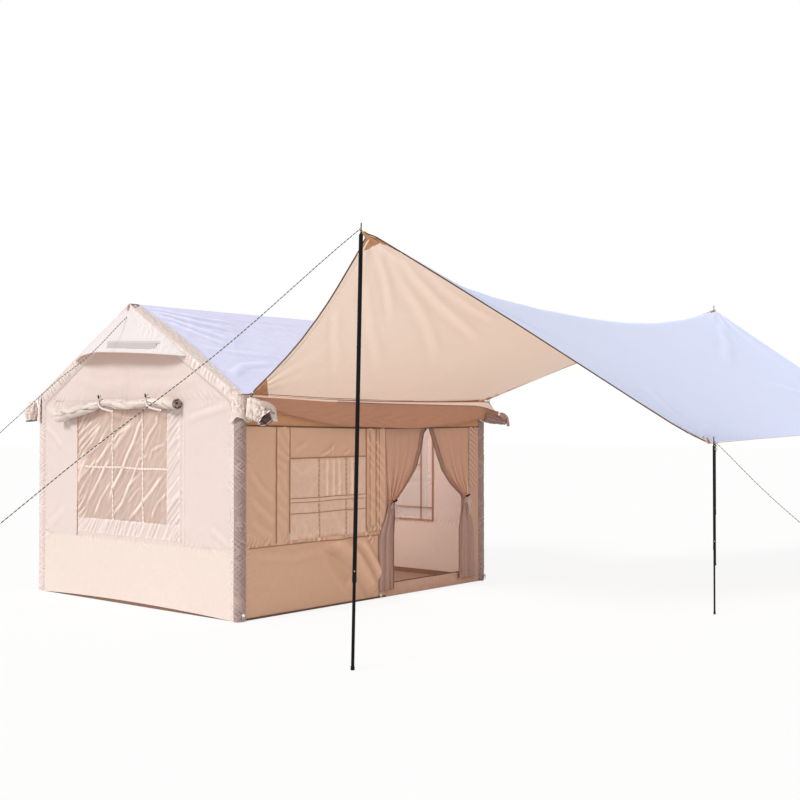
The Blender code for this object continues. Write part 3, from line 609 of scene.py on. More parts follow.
def cloth_finish(name, colour, creases=0.3, size=0.10, weave=0.004, roughness=0.85, sheen=0.15,
                 vary=0.06, alpha=1.0, proud=0.0, grain=0.25, dash=0.0, glow=0.0):
    """Woven cloth: threads on the UV, soft creases and uneven colour on Object coordinates."""
    if name in bpy.data.materials:
        return bpy.data.materials[name]
    material, tree, shader = blank(name)
    coords = node(tree, "TexCoord").outputs
    broad = node(tree, "TexNoise", {"Vector": coords["Object"], "Scale": 1.4, "Detail": 4.0,
                                    "Roughness": 0.6})
    fine = node(tree, "TexNoise", {"Vector": coords["Object"], "Scale": 45.0, "Detail": 2.0})
    result = blend(tree, broad.outputs["Fac"], shade(colour, 1 - vary), shade(colour, 1 + vary))
    result = blend(tree, fine.outputs["Fac"], result, shade(colour, 0.94))
    threads = []
    for direction in ("X", "Y"):
        wave = node(tree, "TexWave", {"Vector": coords["UV"], "Scale": WAVE_RATE / weave,
                                      "Distortion": 0.6, "Detail": 1.0, "Detail Scale": 0.5},
                    bands_direction=direction)
        threads.append(wave.outputs["Fac"])
    woven = maths(tree, "MULTIPLY", *threads)
    result = blend(tree, maths(tree, "MULTIPLY", woven, 0.16), result, shade(colour, 0.62))
    # Painted highlight: where the cloth stands proud (its lift) the colour is mixed towards a lighter
    # copy; on nets the lift also makes the cloth more opaque.
    if proud:
        lift = node(tree, "Attribute", attribute_name="lift")
        share = maths(tree, "MULTIPLY", lift.outputs["Fac"], proud)
        result = blend(tree, share, result, shade(colour, 1.35))
        if alpha < 1:
            solid = maths(tree, "ADD", share, alpha, use_clamp=True)
            tree.links.new(solid, shader.inputs["Alpha"])
    if dash:
        turn = node(tree, "TexWave", {"Vector": coords["UV"], "Scale": WAVE_RATE / dash},
                    bands_direction="Y")
        cut = node(tree, "MapRange", {"Value": turn.outputs["Fac"], "From Min": 0.45,
                                      "From Max": 0.60, "To Max": 0.5})
        result = blend(tree, cut.outputs[0], result, shade(colour, 0.55))
    # Painted shade and highlight: the colour is scaled down in hollows and up on ridges, by the crease
    # attribute.
    bend = node(tree, "Attribute", attribute_name="crease")
    painted_crease_shade = node(tree, "MapRange", {"Value": bend.outputs["Fac"], "To Min": 0.35, "To Max": 1.65})
    result = node(tree, "VectorMath", {0: result, "Scale": painted_crease_shade.outputs[0]},
                  operation="SCALE").outputs[0]
    tree.links.new(result, shader.inputs["Base Color"])
    # Painted light: the colour is also given out as light, standing in for light that comes through the
    # cloth.
    if glow:
        tree.links.new(result, shader.inputs["Emission Color"])
        shader.inputs["Emission Strength"].default_value = glow
    packed = node(tree, "TexNoise", {"Vector": coords["Object"], "Scale": 0.5 / size,
                                     "Detail": 3.0, "Roughness": 0.55, "Distortion": 0.6})
    creased = node(tree, "Bump", {"Height": packed.outputs["Fac"], "Strength": creases,
                                  "Distance": size * 0.12})
    worked = node(tree, "Bump", {"Height": woven, "Strength": grain,
                                 "Distance": weave * 0.12, "Normal": creased.outputs["Normal"]})
    tree.links.new(worked.outputs["Normal"], shader.inputs["Normal"])
    shader.inputs["Roughness"].default_value = roughness
    shader.inputs["Sheen Weight"].default_value = sheen
    shader.inputs["Sheen Roughness"].default_value = 0.5
    shader.inputs["Specular IOR Level"].default_value = 0.3
    if alpha < 1 and not proud:
        shader.inputs["Alpha"].default_value = alpha
    return material


def net_finish(name, colour, alpha, proud):
    """Fine window net: crossing threads with see-through cells."""
    # proud: folds are more opaque, and painted lighter as highlight.
    return cloth_finish(name, colour, creases=0.1, weave=0.0035, sheen=0.05, alpha=alpha,
                        proud=proud, grain=0.5)


def hard_finish(name, colour, roughness=0.4, metallic=0.0, grain=0.2, wear=0.5, gloss=0.5):
    """Moulded plastic or coated metal: fine grain, with rubbed and dusty places."""
    if name in bpy.data.materials:
        return bpy.data.materials[name]
    material, tree, shader = blank(name)
    place = node(tree, "TexCoord").outputs["Object"]
    dust = node(tree, "TexNoise", {"Vector": place, "Scale": 14.0, "Detail": 5.0})
    grit = node(tree, "TexNoise", {"Vector": place, "Scale": 900.0, "Detail": 2.0})
    sharp = node(tree, "MapRange", {"Value": dust.outputs["Fac"], "From Min": 0.52,
                                    "From Max": 0.75, "To Max": wear})
    pale = tuple(clamp(part * 1.5 + 0.02) for part in colour)
    mixed = blend(tree, sharp.outputs[0], (*colour, 1.0), (*pale, 1.0))
    rough = node(tree, "MapRange", {"Value": dust.outputs["Fac"], "To Min": roughness * 0.8,
                                    "To Max": roughness * 1.3})
    bump = node(tree, "Bump", {"Height": grit.outputs["Fac"], "Strength": grain,
                               "Distance": 0.0004})
    tree.links.new(mixed, shader.inputs["Base Color"])
    tree.links.new(rough.outputs[0], shader.inputs["Roughness"])
    tree.links.new(bump.outputs["Normal"], shader.inputs["Normal"])
    shader.inputs["Metallic"].default_value = metallic
    shader.inputs["Specular IOR Level"].default_value = gloss
    return material


def rope_finish(name, dark, pale):
    """Braided rope: slanting strands round its length, some of them pale."""
    if name in bpy.data.materials:
        return bpy.data.materials[name]
    material, tree, shader = blank(name)
    uv = node(tree, "TexCoord").outputs["UV"]
    strands = []
    for lean in (1, -1):
        turned_uv = node(tree, "Mapping", {"Vector": uv, "Scale": (2.0, 100.0, 1.0),
                                           "Rotation": (0, 0, radians(32 * lean))})
        wave = node(tree, "TexWave", {"Vector": turned_uv.outputs[0], "Scale": 0.35})
        strands.append(wave.outputs["Fac"])
    braid = maths(tree, "MULTIPLY", *strands)
    fleck = node(tree, "TexWave", {"Vector": uv, "Scale": 11.0}, bands_direction="Y")
    cut = node(tree, "MapRange", {"Value": fleck.outputs["Fac"], "From Min": 0.68,
                                  "From Max": 0.80})
    mixed = blend(tree, cut.outputs[0], (*dark, 1), (*pale, 1))
    bump = node(tree, "Bump", {"Height": braid, "Strength": 0.6, "Distance": 0.0006})
    tree.links.new(mixed, shader.inputs["Base Color"])
    tree.links.new(bump.outputs["Normal"], shader.inputs["Normal"])
    shader.inputs["Roughness"].default_value = 0.8
    return material


class Finishes:
    """Every finish by name, made on first use."""

    # proud: how much lighter cloth that stands proud is painted, as highlight.
    CLOTH = {
        "wall": dict(creases=0.35, size=0.16),
        "strip": dict(creases=0.35, size=0.10),
        "header": dict(creases=0.3, size=0.15),
        "gable": dict(creases=0.22, size=0.22),
        "skirt": dict(creases=0.2, size=0.25),
        "hood": dict(creases=0.3, size=0.15),
        "hood_under": dict(creases=0.3, size=0.15),
        "sleeve": dict(creases=0.5, size=0.03, sheen=0.3, proud=0.9),
        "roof": dict(creases=0.2, size=0.3, sheen=0.1, vary=0.04),
        "band": dict(creases=0.5, size=0.05, proud=0.15),
        "canopy_top": dict(creases=0.15, size=0.3, vary=0.03),
        "canopy_under": dict(creases=0.15, size=0.3, vary=0.03, sheen=0.05),
        "patch": dict(creases=0.4, size=0.06),
        "hem": dict(creases=0.3, size=0.05),
        "flap": dict(creases=0.25, size=0.15),
        "curtain": dict(creases=0.4, size=0.10, proud=0.25),
        "fallen": dict(creases=0.4, size=0.08, proud=0.25),
        "tape": dict(creases=0.4, size=0.02, weave=0.003),
        "batten": dict(creases=0.3, size=0.03, weave=0.003),
        "seam": dict(creases=0.4, size=0.02, weave=0.003),
        "bundle": dict(creases=0.5, size=0.06, proud=0.25),
        "lining": dict(creases=0.4, size=0.06),
        "floor": dict(creases=0.3, size=0.12, roughness=0.6),
    }
    HARD = {
        "black": ("black_fitting", "black", dict(roughness=0.4, wear=0.15, gloss=0.15)),
        "pole": ("pole_coat", "black", dict(roughness=0.35, grain=0.1, wear=0.1, gloss=0.12)),
        "plastic": ("pale_fitting", "plastic", dict(roughness=0.45)),
        "steel": ("peg_steel", (0.5, 0.5, 0.5), dict(roughness=0.35, metallic=0.9)),
        "film": ("bladder_film", (0.7, 0.7, 0.68), dict(roughness=0.35)),
    }

    def __getattr__(self, name):
        colours = bpy.context.scene.tent_colours
        if name in self.CLOTH:
            # Undersides glow with the stage's glow strength: painted light.
            glow = bpy.context.scene.tent_light.glow if name.endswith("_under") else 0.0
            return cloth_finish(name + "_cloth", tuple(getattr(colours, name)), glow=glow,
                                **self.CLOTH[name])
        if name in ("braid", "pale_braid"):
            colour = colours.strip if name == "braid" else colours.tape
            return cloth_finish(name, tuple(colour), creases=0.4, size=0.02, weave=0.003,
                                dash=0.042)
        if name == "net":
            return net_finish("window_net", tuple(colours.net), 0.62, 0.8)
        if name == "front_net":
            return net_finish("front_window_net", tuple(colours.front_net), 0.78, 0.3)
        if name in self.HARD:
            label, colour, settings = self.HARD[name]
            if isinstance(colour, str):
                colour = tuple(getattr(colours, colour))
            return hard_finish(label, colour, **settings)
        if name == "rope":
            return rope_finish("guy_rope", tuple(colours.rope), tuple(colours.fleck))
        raise AttributeError(name)


def dress(finish, *names):
    """Give carried-over nodes a finish."""
    for name in names:
        item = NODES[name]
        item.data.materials.clear()
        item.data.materials.append(finish)


# ---------------------------------------------------------------- stage


# The camera as fitted: its place, its tilt and heading in degrees, its lens in millimetres
CAMERA_PLACE = (-7.927, -8.401, 1.588)
CAMERA_TILT, CAMERA_HEADING, CAMERA_LENS = 91.009, 49.671, 53.26
FLOOR_SIZE, FLOOR_DROP, FLOOR_WHITE = 120.0, 0.001, 0.86
SUN_FROM, SUN_SPREAD = (-0.80, 0.06, 0.60), 18


class TENT_OT_stage(Operator):
    """Camera, floor and soft studio light"""

    bl_idname = "tent.stage"
    bl_label = "Stage"

    def execute(self, context):
        light = context.scene.tent_light
        camera = bpy.data.objects.new("camera", bpy.data.cameras.new("camera"))
        context.scene.collection.objects.link(camera)
        camera.location = CAMERA_PLACE
        camera.rotation_euler = (radians(CAMERA_TILT), 0.0, -radians(CAMERA_HEADING))
        camera.data.lens = CAMERA_LENS
        camera.data.sensor_width = 36.0
        camera.data.clip_end = 200.0
        context.scene.camera = camera
        bpy.ops.object.select_all(action="DESELECT")
        bpy.ops.mesh.primitive_plane_add(size=FLOOR_SIZE, location=(0.0, 0.0, -FLOOR_DROP))
        floor = context.object
        floor.name = "studio_floor"
        material, tree, shader = blank("studio_floor")
        shader.inputs["Base Color"].default_value = (FLOOR_WHITE,) * 3 + (1.0,)
        shader.inputs["Roughness"].default_value = 1.0
        shader.inputs["Specular IOR Level"].default_value = 0.0
        self.lit_white(tree, shader.outputs[0], tree.nodes["Material Output"].inputs[0],
                       FLOOR_WHITE)
        floor.data.materials.append(material)
        world = bpy.data.worlds.new("studio")
        world.use_nodes = True
        context.scene.world = world
        tree = world.node_tree
        back = tree.nodes["Background"]
        back.inputs["Color"].default_value = (1.0, 0.985, 0.97, 1.0)
        back.inputs["Strength"].default_value = light.world
        self.lit_white(tree, back.outputs[0], tree.nodes["World Output"].inputs[0], 1.0, True)
        key = bpy.data.lights.new("key", "SUN")
        key.energy = light.sun
        key.angle = radians(SUN_SPREAD)
        key.color = (1.0, 0.985, 0.96)
        lamp = bpy.data.objects.new("key", key)
        lamp.rotation_euler = Vector(SUN_FROM).to_track_quat("Z", "Y").to_euler()
        context.scene.collection.objects.link(lamp)
        glow = bpy.data.lights.new("inside", "AREA")
        glow.shape = "RECTANGLE"
        glow.size, glow.size_y = 2.6, 1.0
        glow.energy = light.inside
        glow.color = (1.0, 0.93, 0.86)
        lamp = bpy.data.objects.new("inside", glow)
        lamp.location = (0.0, 0.0, 2.2)
        lamp.visible_camera = False
        context.scene.collection.objects.link(lamp)
        context.scene.view_settings.view_transform = "Standard"
        return {"FINISHED"}

    def lit_white(self, tree, lit, target, amount, is_world=False):
        """Show white to the camera, in gloss and through clear pieces, mixed with what is lit."""
        path = node(tree, "LightPath").outputs
        seen = path["Is Camera Ray"]
        for name in ("Is Glossy Ray", "Is Transmission Ray"):
            seen = maths(tree, "MAXIMUM", seen, path[name])
        share = maths(tree, "MULTIPLY", seen, amount)
        kind = "Background" if is_world else "Emission"
        white = node(tree, kind, {"Color": (1, 1, 1, 1), "Strength": 1.0})
        mix = node(tree, "MixShader", {"Fac": share, 1: lit, 2: white.outputs[0]})
        tree.links.new(mix.outputs[0], target)


# ---------------------------------------------------------------- guy ropes

# Steps along a rope, its slack as a share of its span, and turns of rope at its peg
ROPE_STEPS, ROPE_SLACK, KNOT_TURNS = 39, 0.010, 3
# Start and end of each rope, how much of it is straight down to the peg, and its length
ROPES = {
    "near_tall": ((-2.3209, -3.3081, 2.8195), (-5.4539, -1.9762, 0.03), 0.45, 4.401),
    "near_low": ((1.1742, -4.0686, 1.42), (1.4928, -5.5004, 0.03), 0.45, 2.021),
    "gable": ((-1.6516, 0.0004, 2.5043), (-4.2225, 0.7075, 0.03), 0.75, 3.638),
}


class TENT_OT_guy_ropes(Operator):
    """Braided guy ropes with their runners, knots and pegs"""

    bl_idname = "tent.guy_ropes"
    bl_label = "Guy Ropes"

    def execute(self, context):
        finish = Finishes()
        radius = context.scene.canopy_sizes.rope
        for name, (start, end, straight, length) in ROPES.items():
            start, end = Vector(start), Vector(end)
            span = (end - start).length
            path = []
            for step in range(ROPE_STEPS + 1):
                share = step / ROPE_STEPS
                point = start.lerp(end, share)
                if share < 1 - straight:
                    point.z -= ROPE_SLACK * span * sin(pi * share / (1 - straight)) ** 2
                path.append(point)
            cloth = Cloth()
            cloth.tube(path, radius, 10, 0, (0.3, 1, 0.2))
            rope = sew("rope_" + name, cloth, [finish.rope],
                       replaces=["guy_rope_" + name])
            away = (end - start).normalized()
            loops = Cloth()
            for step in range(KNOT_TURNS):
                spot = end - away * (0.004 + 0.006 * step)
                loops.tube(self.coil(spot, away, radius * 2.1), radius, 8)
            knot = sew("rope_knot_" + name, loops, [finish.rope])
            dress(finish.plastic if name == "gable" else finish.black, "rope_runner_" + name)
            dress(finish.steel, "ground_peg_" + name)
        return {"FINISHED"}

    def coil(self, middle, axis, radius):
        """One turn of rope round the taut line."""
        place = along(middle, axis)
        return [place @ Vector((radius * cos(a), radius * sin(a), 0.0006 * a))
                for a in turns(12)[:-1]]


# ---------------------------------------------------------------- air tubes


# Ring spacing along the arches and the straight tubes, and their sides
ARCH_STEP, ARCH_SIDES, TUBE_STEP, TUBE_SIDES = 0.0045, 64, 0.009, 20
# Above this height only every third ring of an arch is kept
FINE_BELOW, COARSE = 1.7, 3


def rounded_path(corners, radius, steps):
    """An open run of points whose inner corners are replaced by arcs."""
    path = [corners[0]]
    for before, corner, after in zip(corners, corners[1:], corners[2:]):
        back, ahead = (before - corner).normalized(), (after - corner).normalized()
        half = back.angle(ahead) / 2
        centre = corner + (back + ahead).normalized() * (radius / sin(half))
        start = corner + back * (radius / tan(half)) - centre
        end = corner + ahead * (radius / tan(half)) - centre
        axis, sweep = start.cross(end), start.angle(end)
        for step in range(steps + 1):
            path.append(centre + Matrix.Rotation(sweep * step / steps, 3, axis) @ start)
    path.append(corners[-1])
    return path


def arch_path(plan, inset, bottom, x=0.0, steps=8):
    """The gable arch from back foot to front foot, drawn in by an inset."""
    y = plan.column_y - inset
    peak = plan.peak_z - inset / cos(plan.slope)
    corner = peak - y * tan(plan.slope)
    corners = [Vector((x, y, bottom)), Vector((x, y, corner)), Vector((x, 0.0, peak)),
               Vector((x, -y, corner)), Vector((x, -y, bottom))]
    return rounded_path(corners, plan.size.bend - inset, steps)


def sleeve_shape(run, angle, size, grow=0.0):
    """Slanting gathers of the cloth that covers a hard air tube."""
    round_it = ((angle + pi) % (2 * pi)) * size
    patch = clamp(0.75 + 1.0 * ripple(run, 0.0, 0.12, 5.0))
    first = streaks(run + 0.8 * round_it, run - 0.8 * round_it, 0.034, 0.300, 2.0)
    second = streaks(run - 0.8 * round_it, run + 0.8 * round_it, 0.040, 0.340, 8.0)
    fold = max(first, 0.9 * second) * patch
    return size - 0.0010 + (0.0009 + 0.0045 * grow) * fold, clamp(1.6 * fold - 0.5)


def gable_side(share, spot):
    """Which faces wear the pale band cloth: all but a column's front and back, which get the darker
    sleeve colour as painted shade.
    """
    angle = 2 * pi * (share if share < 0.5 else share - 1)
    if spot.z < 1.62:
        front, start = (-1, 10) if spot.y < 0 else (1, 58)
        return 0 if angle * front > radians(start) else 1
    return 1


class TENT_OT_air_frame(Operator):
    """Crinkled cloth sleeves over the five air tubes"""

    bl_idname = "tent.air_frame"
    bl_label = "Air Frame"

    def execute(self, context):
        plan, finish = Plan(), Finishes()
        radius = plan.size.tube
        path = resample(arch_path(plan, 0.0, 0.001, -plan.column_x), ARCH_STEP)
        total = ARCH_STEP * len(path)
        path = [spot for number, spot in enumerate(path)
                if spot.z < FINE_BELOW or number % COARSE == 0]

        def column_shape(run, angle, size):
            return sleeve_shape(run, angle, size, clamp((1.60 - min(run, total - run)) / 0.05))

        cloth = Cloth()
        # The columns' front and back faces get the darker first finish as painted shade, all other faces
        # the pale band cloth.
        cloth.tube(path, radius, ARCH_SIDES, gable_side, (-1, 0, 0), column_shape)
        for name, made in (("left", cloth), ("right", cloth.mirrored(0))):
            sew("crinkled_arch_" + name, made, [finish.sleeve, finish.band],
                replaces=["arch_sleeve_" + name])
        end = plan.column_x - radius - plan.size.gap
        for name, y, z in (("ridge", 0.0, plan.peak_z), ("front_eave", -plan.column_y, plan.corner_z),
                           ("back_eave", plan.column_y, plan.corner_z)):
            cloth = Cloth()
            path = resample([(-end, y, z), (end, y, z)], TUBE_STEP)
            cloth.tube(path, radius, TUBE_SIDES, 0, (0, 0, 1), sleeve_shape)
            sew("crinkled_" + name, cloth, [finish.sleeve],
                replaces=[name + "_sleeve"])
        dress(finish.film, "arch_bladder_left", "arch_bladder_right", "ridge_bladder",
              "front_eave_bladder", "back_eave_bladder")
        dress(finish.plastic, "valve_body", "valve_cap")
        dress(finish.black, "valve_button")
        return {"FINISHED"}


# ---------------------------------------------------------------- roof

# Folds that fan out of the ridge's end: (X, distance down the slope) runs, width, height
ROOF_FOLDS = (
    (((-1.50, 0.05), (-1.10, 0.16), (-0.60, 0.24)), 0.05, 0.010),
    (((-1.50, 0.12), (-1.15, 0.28), (-0.75, 0.40)), 0.05, 0.012),
    (((-1.49, 0.20), (-1.20, 0.42), (-0.90, 0.60)), 0.06, 0.011),
    (((-1.48, 0.30), (-1.28, 0.52), (-1.05, 0.72)), 0.05, 0.008),
    (((-1.47, 0.75), (-1.10, 0.85), (-0.70, 0.86)), 0.07, 0.006),
    (((-1.49, 1.30), (-1.20, 1.10), (-0.80, 1.02)), 0.07, 0.008),
    (((1.50, 0.10), (1.10, 0.22), (0.60, 0.30)), 0.05, 0.010),
    (((1.49, 0.25), (1.20, 0.50), (0.90, 0.66)), 0.06, 0.010),
    (((1.49, 1.35), (1.20, 1.12), (0.80, 1.05)), 0.07, 0.008),
)
# Width of the crinkled band over the rafter, along the slope
BAND_STOPS = ((0.0, 0.085), (0.08, 0.105), (0.30, 0.145), (0.5, 0.150), (0.72, 0.10), (1.0, 0.05))


class TENT_OT_roof(Operator):
    """Roof panels with crinkled bands over the rafters, edge pipings and corner caps"""

    bl_idname = "tent.roof"
    bl_label = "Roof"

    def execute(self, context):
        plan, finish = Plan(), Finishes()
        slope_length = hypot(plan.half_width, plan.size.ridge - plan.size.eave)
        down = Vector((0.0, -cos(plan.slope), -sin(plan.slope)))
        out = Vector((0.0, -sin(plan.slope), cos(plan.slope)))
        top = Vector((0.0, 0.0, plan.size.ridge))
        half = plan.half_length

        def band(run):
            return smooth_ramp(run / slope_length, BAND_STOPS)

        def roof_point(u, run):
            """u is -1.2 to 1.2: beyond 1 lies the band over the rafter."""
            inner = half - band(run)
            if abs(u) <= 1:
                x = inner * u
            else:
                x = (inner + (half - inner) * (abs(u) - 1) / 0.2) * (1 if u > 0 else -1)
            edge = clamp((half - abs(x)) / 0.03)
            ends = clamp(run / 0.03) * clamp((slope_length - run) / 0.02)
            if abs(u) > 1.0:
                lift = crumple(x, run, 0.035, 3.0)
                height = 0.010 * lift * edge * ends + 0.001
            else:
                lift = 0.0
                height = folds_at(x, run, ROOF_FOLDS) * 1.6 + 0.008 * ripple(x, run, 0.5, 1.0)
                height += 0.010 * ripple(x * 0.35, run, 0.09, 6.0) * exp(-run / 0.35)
                height += 0.006 * crumple(x, run, 0.30, 4.0) - 0.005
                height += 0.006 * pucker(run, inner - abs(x), 0.045, 0.03, 2.0)
                height *= ends
                inside = min(run, slope_length - run, (inner - abs(x)) + band(run))
                height = max(height, 0.001 - 0.03 * clamp((inside - 0.13) / 0.2))
            return top + Vector((x, 0, 0)) + down * run + out * height, lift

        columns = spread(-1.2, 14, -1.0, 150, 1.0, 14, 1.2)
        rows = spread(0.0, 84, slope_length)
        cloth = Cloth()
        cloth.grid(roof_point, columns, rows, lambda u, v: 1 if abs(u) > 1 else 0,
                   scale=(1.4, 1.0))
        sizes = (plan.size.length, slope_length)
        for name, made, facing in (("front", cloth, (0, -0.5, 1)),
                                   ("back", cloth.mirrored(1), (0, 0.5, 1))):
            sew("roof_cloth_" + name, made, [finish.roof, finish.band], facing,
                plan.size.cloth, ["roof_" + name], flat=sizes, crease_shading=2.5)
        valance = Cloth()

        def valance_point(x, v):
            fold = 0.006 * crumple(x, v * 0.06, 0.10, 9.0) + 0.004 * ripple(x, v * 0.06, 0.15, 4.0)
            low = 0.060 + 0.006 * ripple(x, 0.0, 0.4, 2.0)
            return Vector((x, plan.half_width + 0.002 + max(0.0, fold) * v,
                           plan.size.eave - 0.001 - low * v))

        valance.grid(valance_point, spread(-half + 0.01, 200, half - 0.01), spread(0.0, 8, 1.0))
        sew("back_eave_valance", valance, [finish.band], (0, 1, 0), THIN,
            flat=(2 * half, 0.06))
        trims = Cloth()
        for side in (-1, 1):
            for turn in (-1, 1):
                fall = Vector((0, turn * abs(down.y), down.z)) * slope_length
                run = [top + Vector((side * (half - 0.002), 0, 0)) + fall * step / 40
                       for step in range(41)]
                trims.tube(run, 0.0045, 6, 0)
        for turn in (-1, 1):
            low = [Vector((x, turn * (plan.half_width - 0.001), plan.size.eave + 0.001
                           + 0.001 * ripple(x, 0, 0.1))) for x in spread(-half, 60, half)]
            trims.tube(low, 0.0040, 6, 0, (0, 0, 1))
        sew("roof_pipings", trims, [finish.band])
        self.peak_patches(plan, finish)
        self.corner_caps(plan, finish)
        return {"FINISHED"}

    def peak_patches(self, plan, finish):
        """Webbing patch and rope loop at each gable peak."""
        for side, name in ((-1, "left"), (1, "right")):
            cloth = Cloth()
            x = side * (plan.half_length + 0.001)
            for turn in (-1, 1):
                path = [(x - side * 0.05, turn * 0.006, plan.size.ridge + 0.001),
                        (x - side * 0.05, turn * 0.075, plan.size.ridge - 0.041)]
                cloth.ribbon(path, (0, turn * sin(plan.slope), cos(plan.slope)), 0.09, 0.004)
            path = softened([(x, 0.0, 2.598), (x + side * 0.012, 0.001, 2.57),
                             (x + side * 0.010, 0.001, 2.53), (x + side * 0.004, 0.001, 2.495),
                             (x - side * 0.002, 0.001, 2.50)])
            cloth.ribbon(path, (side, 0.0, 0.15), 0.022, 0.0022)
            sew("peak_webbing_" + name, cloth, [finish.lining])

    def corner_caps(self, plan, finish):
        """Cloth caps that hang from the roof's corners over the columns, with a piped hem."""
        radius = plan.size.tube + 0.007
        middle = Vector((-plan.column_x, -plan.column_y, 0.0))
        stops = [Vector((-radius, 0.012, 0)), Vector((-radius, 0.0, 0))]
        stops += [Vector((-radius * cos(a), -radius * sin(a), 0))
                  for a in [pi / 2 * step / 10 for step in range(1, 11)]]
        stops += [Vector((0.058, -radius, 0))]
        route = resample([middle + stop for stop in stops], 0.006)
        steps = len(route) - 1

        def cap_point(u, v):
            spot = route[int(round(u * steps))].copy()
            inward = abs(spot.y)
            top = plan.size.eave - 0.004 + (plan.half_width - inward) * tan(plan.slope)
            bottom = 1.598 - 0.020 * cos(u * 2.4 * pi) + 0.012 * ripple(u, 0, 0.2, 4)
            out = (spot - middle)
            out.z = 0
            out.normalize()
            proud = crumple(u * 0.3, v * 0.2, 0.045, 6.0)
            spot += out * (0.010 * proud * sin(pi * v) + 0.014 * v * v)
            spot.z = top + (bottom - top) * v
            return spot, proud * 0.6

        cloth = Cloth()
        cloth.grid(cap_point, [step / steps for step in range(steps + 1)], spread(0.0, 26, 1.0),
                   scale=(0.3, 0.2))
        hem = Cloth()
        line = [cap_point(step / steps, 1.0)[0] for step in range(steps + 1)]
        hem.tube(line, 0.0042, 6, 0, (0, 0, 1))
        side = [cap_point(1.0, step / 20)[0] for step in range(21)]
        hem.tube(side, 0.0042, 6, 0, (1, 0, 0))
        for name, axes, facing in (("front_left", (), (-1, -1, 0)), ("front_right", (0,), (1, -1, 0)),
                                   ("back_left", (1,), (-1, 1, 0)), ("back_right", (0, 1), (1, 1, 0))):
            made, edge = cloth, hem
            for axis in axes:
                made, edge = made.mirrored(axis), edge.mirrored(axis)
            sew("corner_cap_" + name, made, [finish.band], facing, THIN,
                flat=(0.20, 0.24), crease_shading=1.6)
            sew("corner_cap_hem_" + name, edge, [finish.tape])


# ---------------------------------------------------------------- gables

# Height of the seam over the gable's window
UPPER_SEAM = 1.775
# Folds of the gable net as seen from outside: runs of (Y, Z)
NET_FOLDS = [
    (((0.78, 1.45), (0.54, 1.59)), 0.023, 0.012),
    (((0.77, 1.38), (0.45, 1.57)), 0.023, 0.012),
    (((0.77, 1.31), (0.62, 1.41), (0.40, 1.57)), 0.023, 0.013),
    (((0.76, 1.25), (0.55, 1.41), (0.42, 1.55)), 0.020, 0.012),
    (((0.63, 1.28), (0.45, 1.38), (0.29, 1.58)), 0.023, 0.013),
    (((0.66, 1.03), (0.47, 1.22), (0.29, 1.38), (0.15, 1.49), (0.01, 1.55)), 0.026, 0.014),
    (((0.61, 1.17), (0.46, 1.24), (0.34, 1.36), (0.29, 1.42)), 0.018, 0.010),
    (((0.63, 0.84), (0.40, 1.13), (0.29, 1.26)), 0.030, 0.016),
    (((0.52, 0.74), (0.42, 0.90), (0.27, 1.06)), 0.023, 0.013),
    (((0.29, 1.30), (0.12, 1.45), (-0.05, 1.59)), 0.041, 0.014),
    (((0.32, 0.87), (0.23, 1.02), (0.12, 1.16), (0.07, 1.25), (-0.04, 1.40), (-0.13, 1.56),
      (-0.16, 1.61)), 0.028, 0.020),
    (((0.27, 0.74), (0.12, 0.87), (0.01, 1.03), (-0.13, 1.14)), 0.026, 0.015),
    (((0.07, 0.95), (-0.04, 1.11), (-0.13, 1.26), (-0.24, 1.30)), 0.024, 0.013),
    (((0.04, 0.87), (-0.06, 0.96), (-0.14, 1.02)), 0.020, 0.011),
    (((0.02, 0.73), (-0.14, 0.86), (-0.30, 1.00), (-0.47, 1.15)), 0.028, 0.017),
    (((-0.18, 1.33), (-0.26, 1.47), (-0.36, 1.57), (-0.37, 1.65)), 0.024, 0.015),
    (((-0.28, 0.75), (-0.38, 0.90), (-0.52, 1.00)), 0.024, 0.012),
    (((0.77, 0.92), (0.65, 1.05)), 0.020, 0.011),
    (((0.77, 0.86), (0.67, 0.93)), 0.018, 0.010),
    (((0.76, 0.78), (0.64, 0.93)), 0.018, 0.011),
    (((0.75, 0.71), (0.66, 0.83)), 0.018, 0.010),
    (((0.74, 0.65), (0.66, 0.73)), 0.016, 0.009),
    (((0.69, 1.09), (0.46, 1.28)), 0.020, 0.011),
    (((-0.25, 1.25), (-0.30, 1.34), (-0.47, 1.40)), 0.024, 0.011),
]
# Folds of the gable wall: runs of (Y, Z), width, height
GABLE_FOLDS = (
    (((1.30, 1.70), (0.95, 1.62), (0.80, 1.50)), 0.06, 0.010),
    (((1.28, 1.55), (1.00, 1.35)), 0.05, 0.006),
    (((-1.28, 1.72), (-1.00, 1.66), (-0.74, 1.60)), 0.05, 0.008),
    (((1.25, 0.62), (0.95, 0.80)), 0.06, 0.006),
    (((-1.28, 0.60), (-1.05, 0.72)), 0.05, 0.006),
    (((0.9, 2.0), (0.4, 1.9), (0.0, 1.92)), 0.08, 0.006),
    (((-0.95, 1.95), (-0.5, 1.88), (-0.1, 1.9)), 0.07, 0.006),
)
# The gable window's hole (left, right, bottom, top), its ruffles' edges and its tapes
HOLE = (-0.67, 0.77, 0.585, 1.69)
RUFFLE_Y, RUFFLE_Z, TAPE_YS, TAPE_Z = -0.50, 0.72, (0.251, -0.173), 1.18

# Along a rolled cover: position, height above its lowest end, thickness
ROLL_SHARES = (
    (0.00, 0.00, 0.80), (0.03, 0.05, 0.95), (0.14, 0.25, 1.00), (0.28, 0.62, 0.92),
    (0.41, 1.00, 0.55), (0.44, 1.00, 0.60), (0.54, 0.84, 0.90), (0.66, 0.82, 0.88),
    (0.78, 0.98, 0.55), (0.81, 0.99, 0.60), (0.90, 0.90, 0.92), (0.98, 0.84, 1.00),
    (1.00, 0.84, 0.92),
)
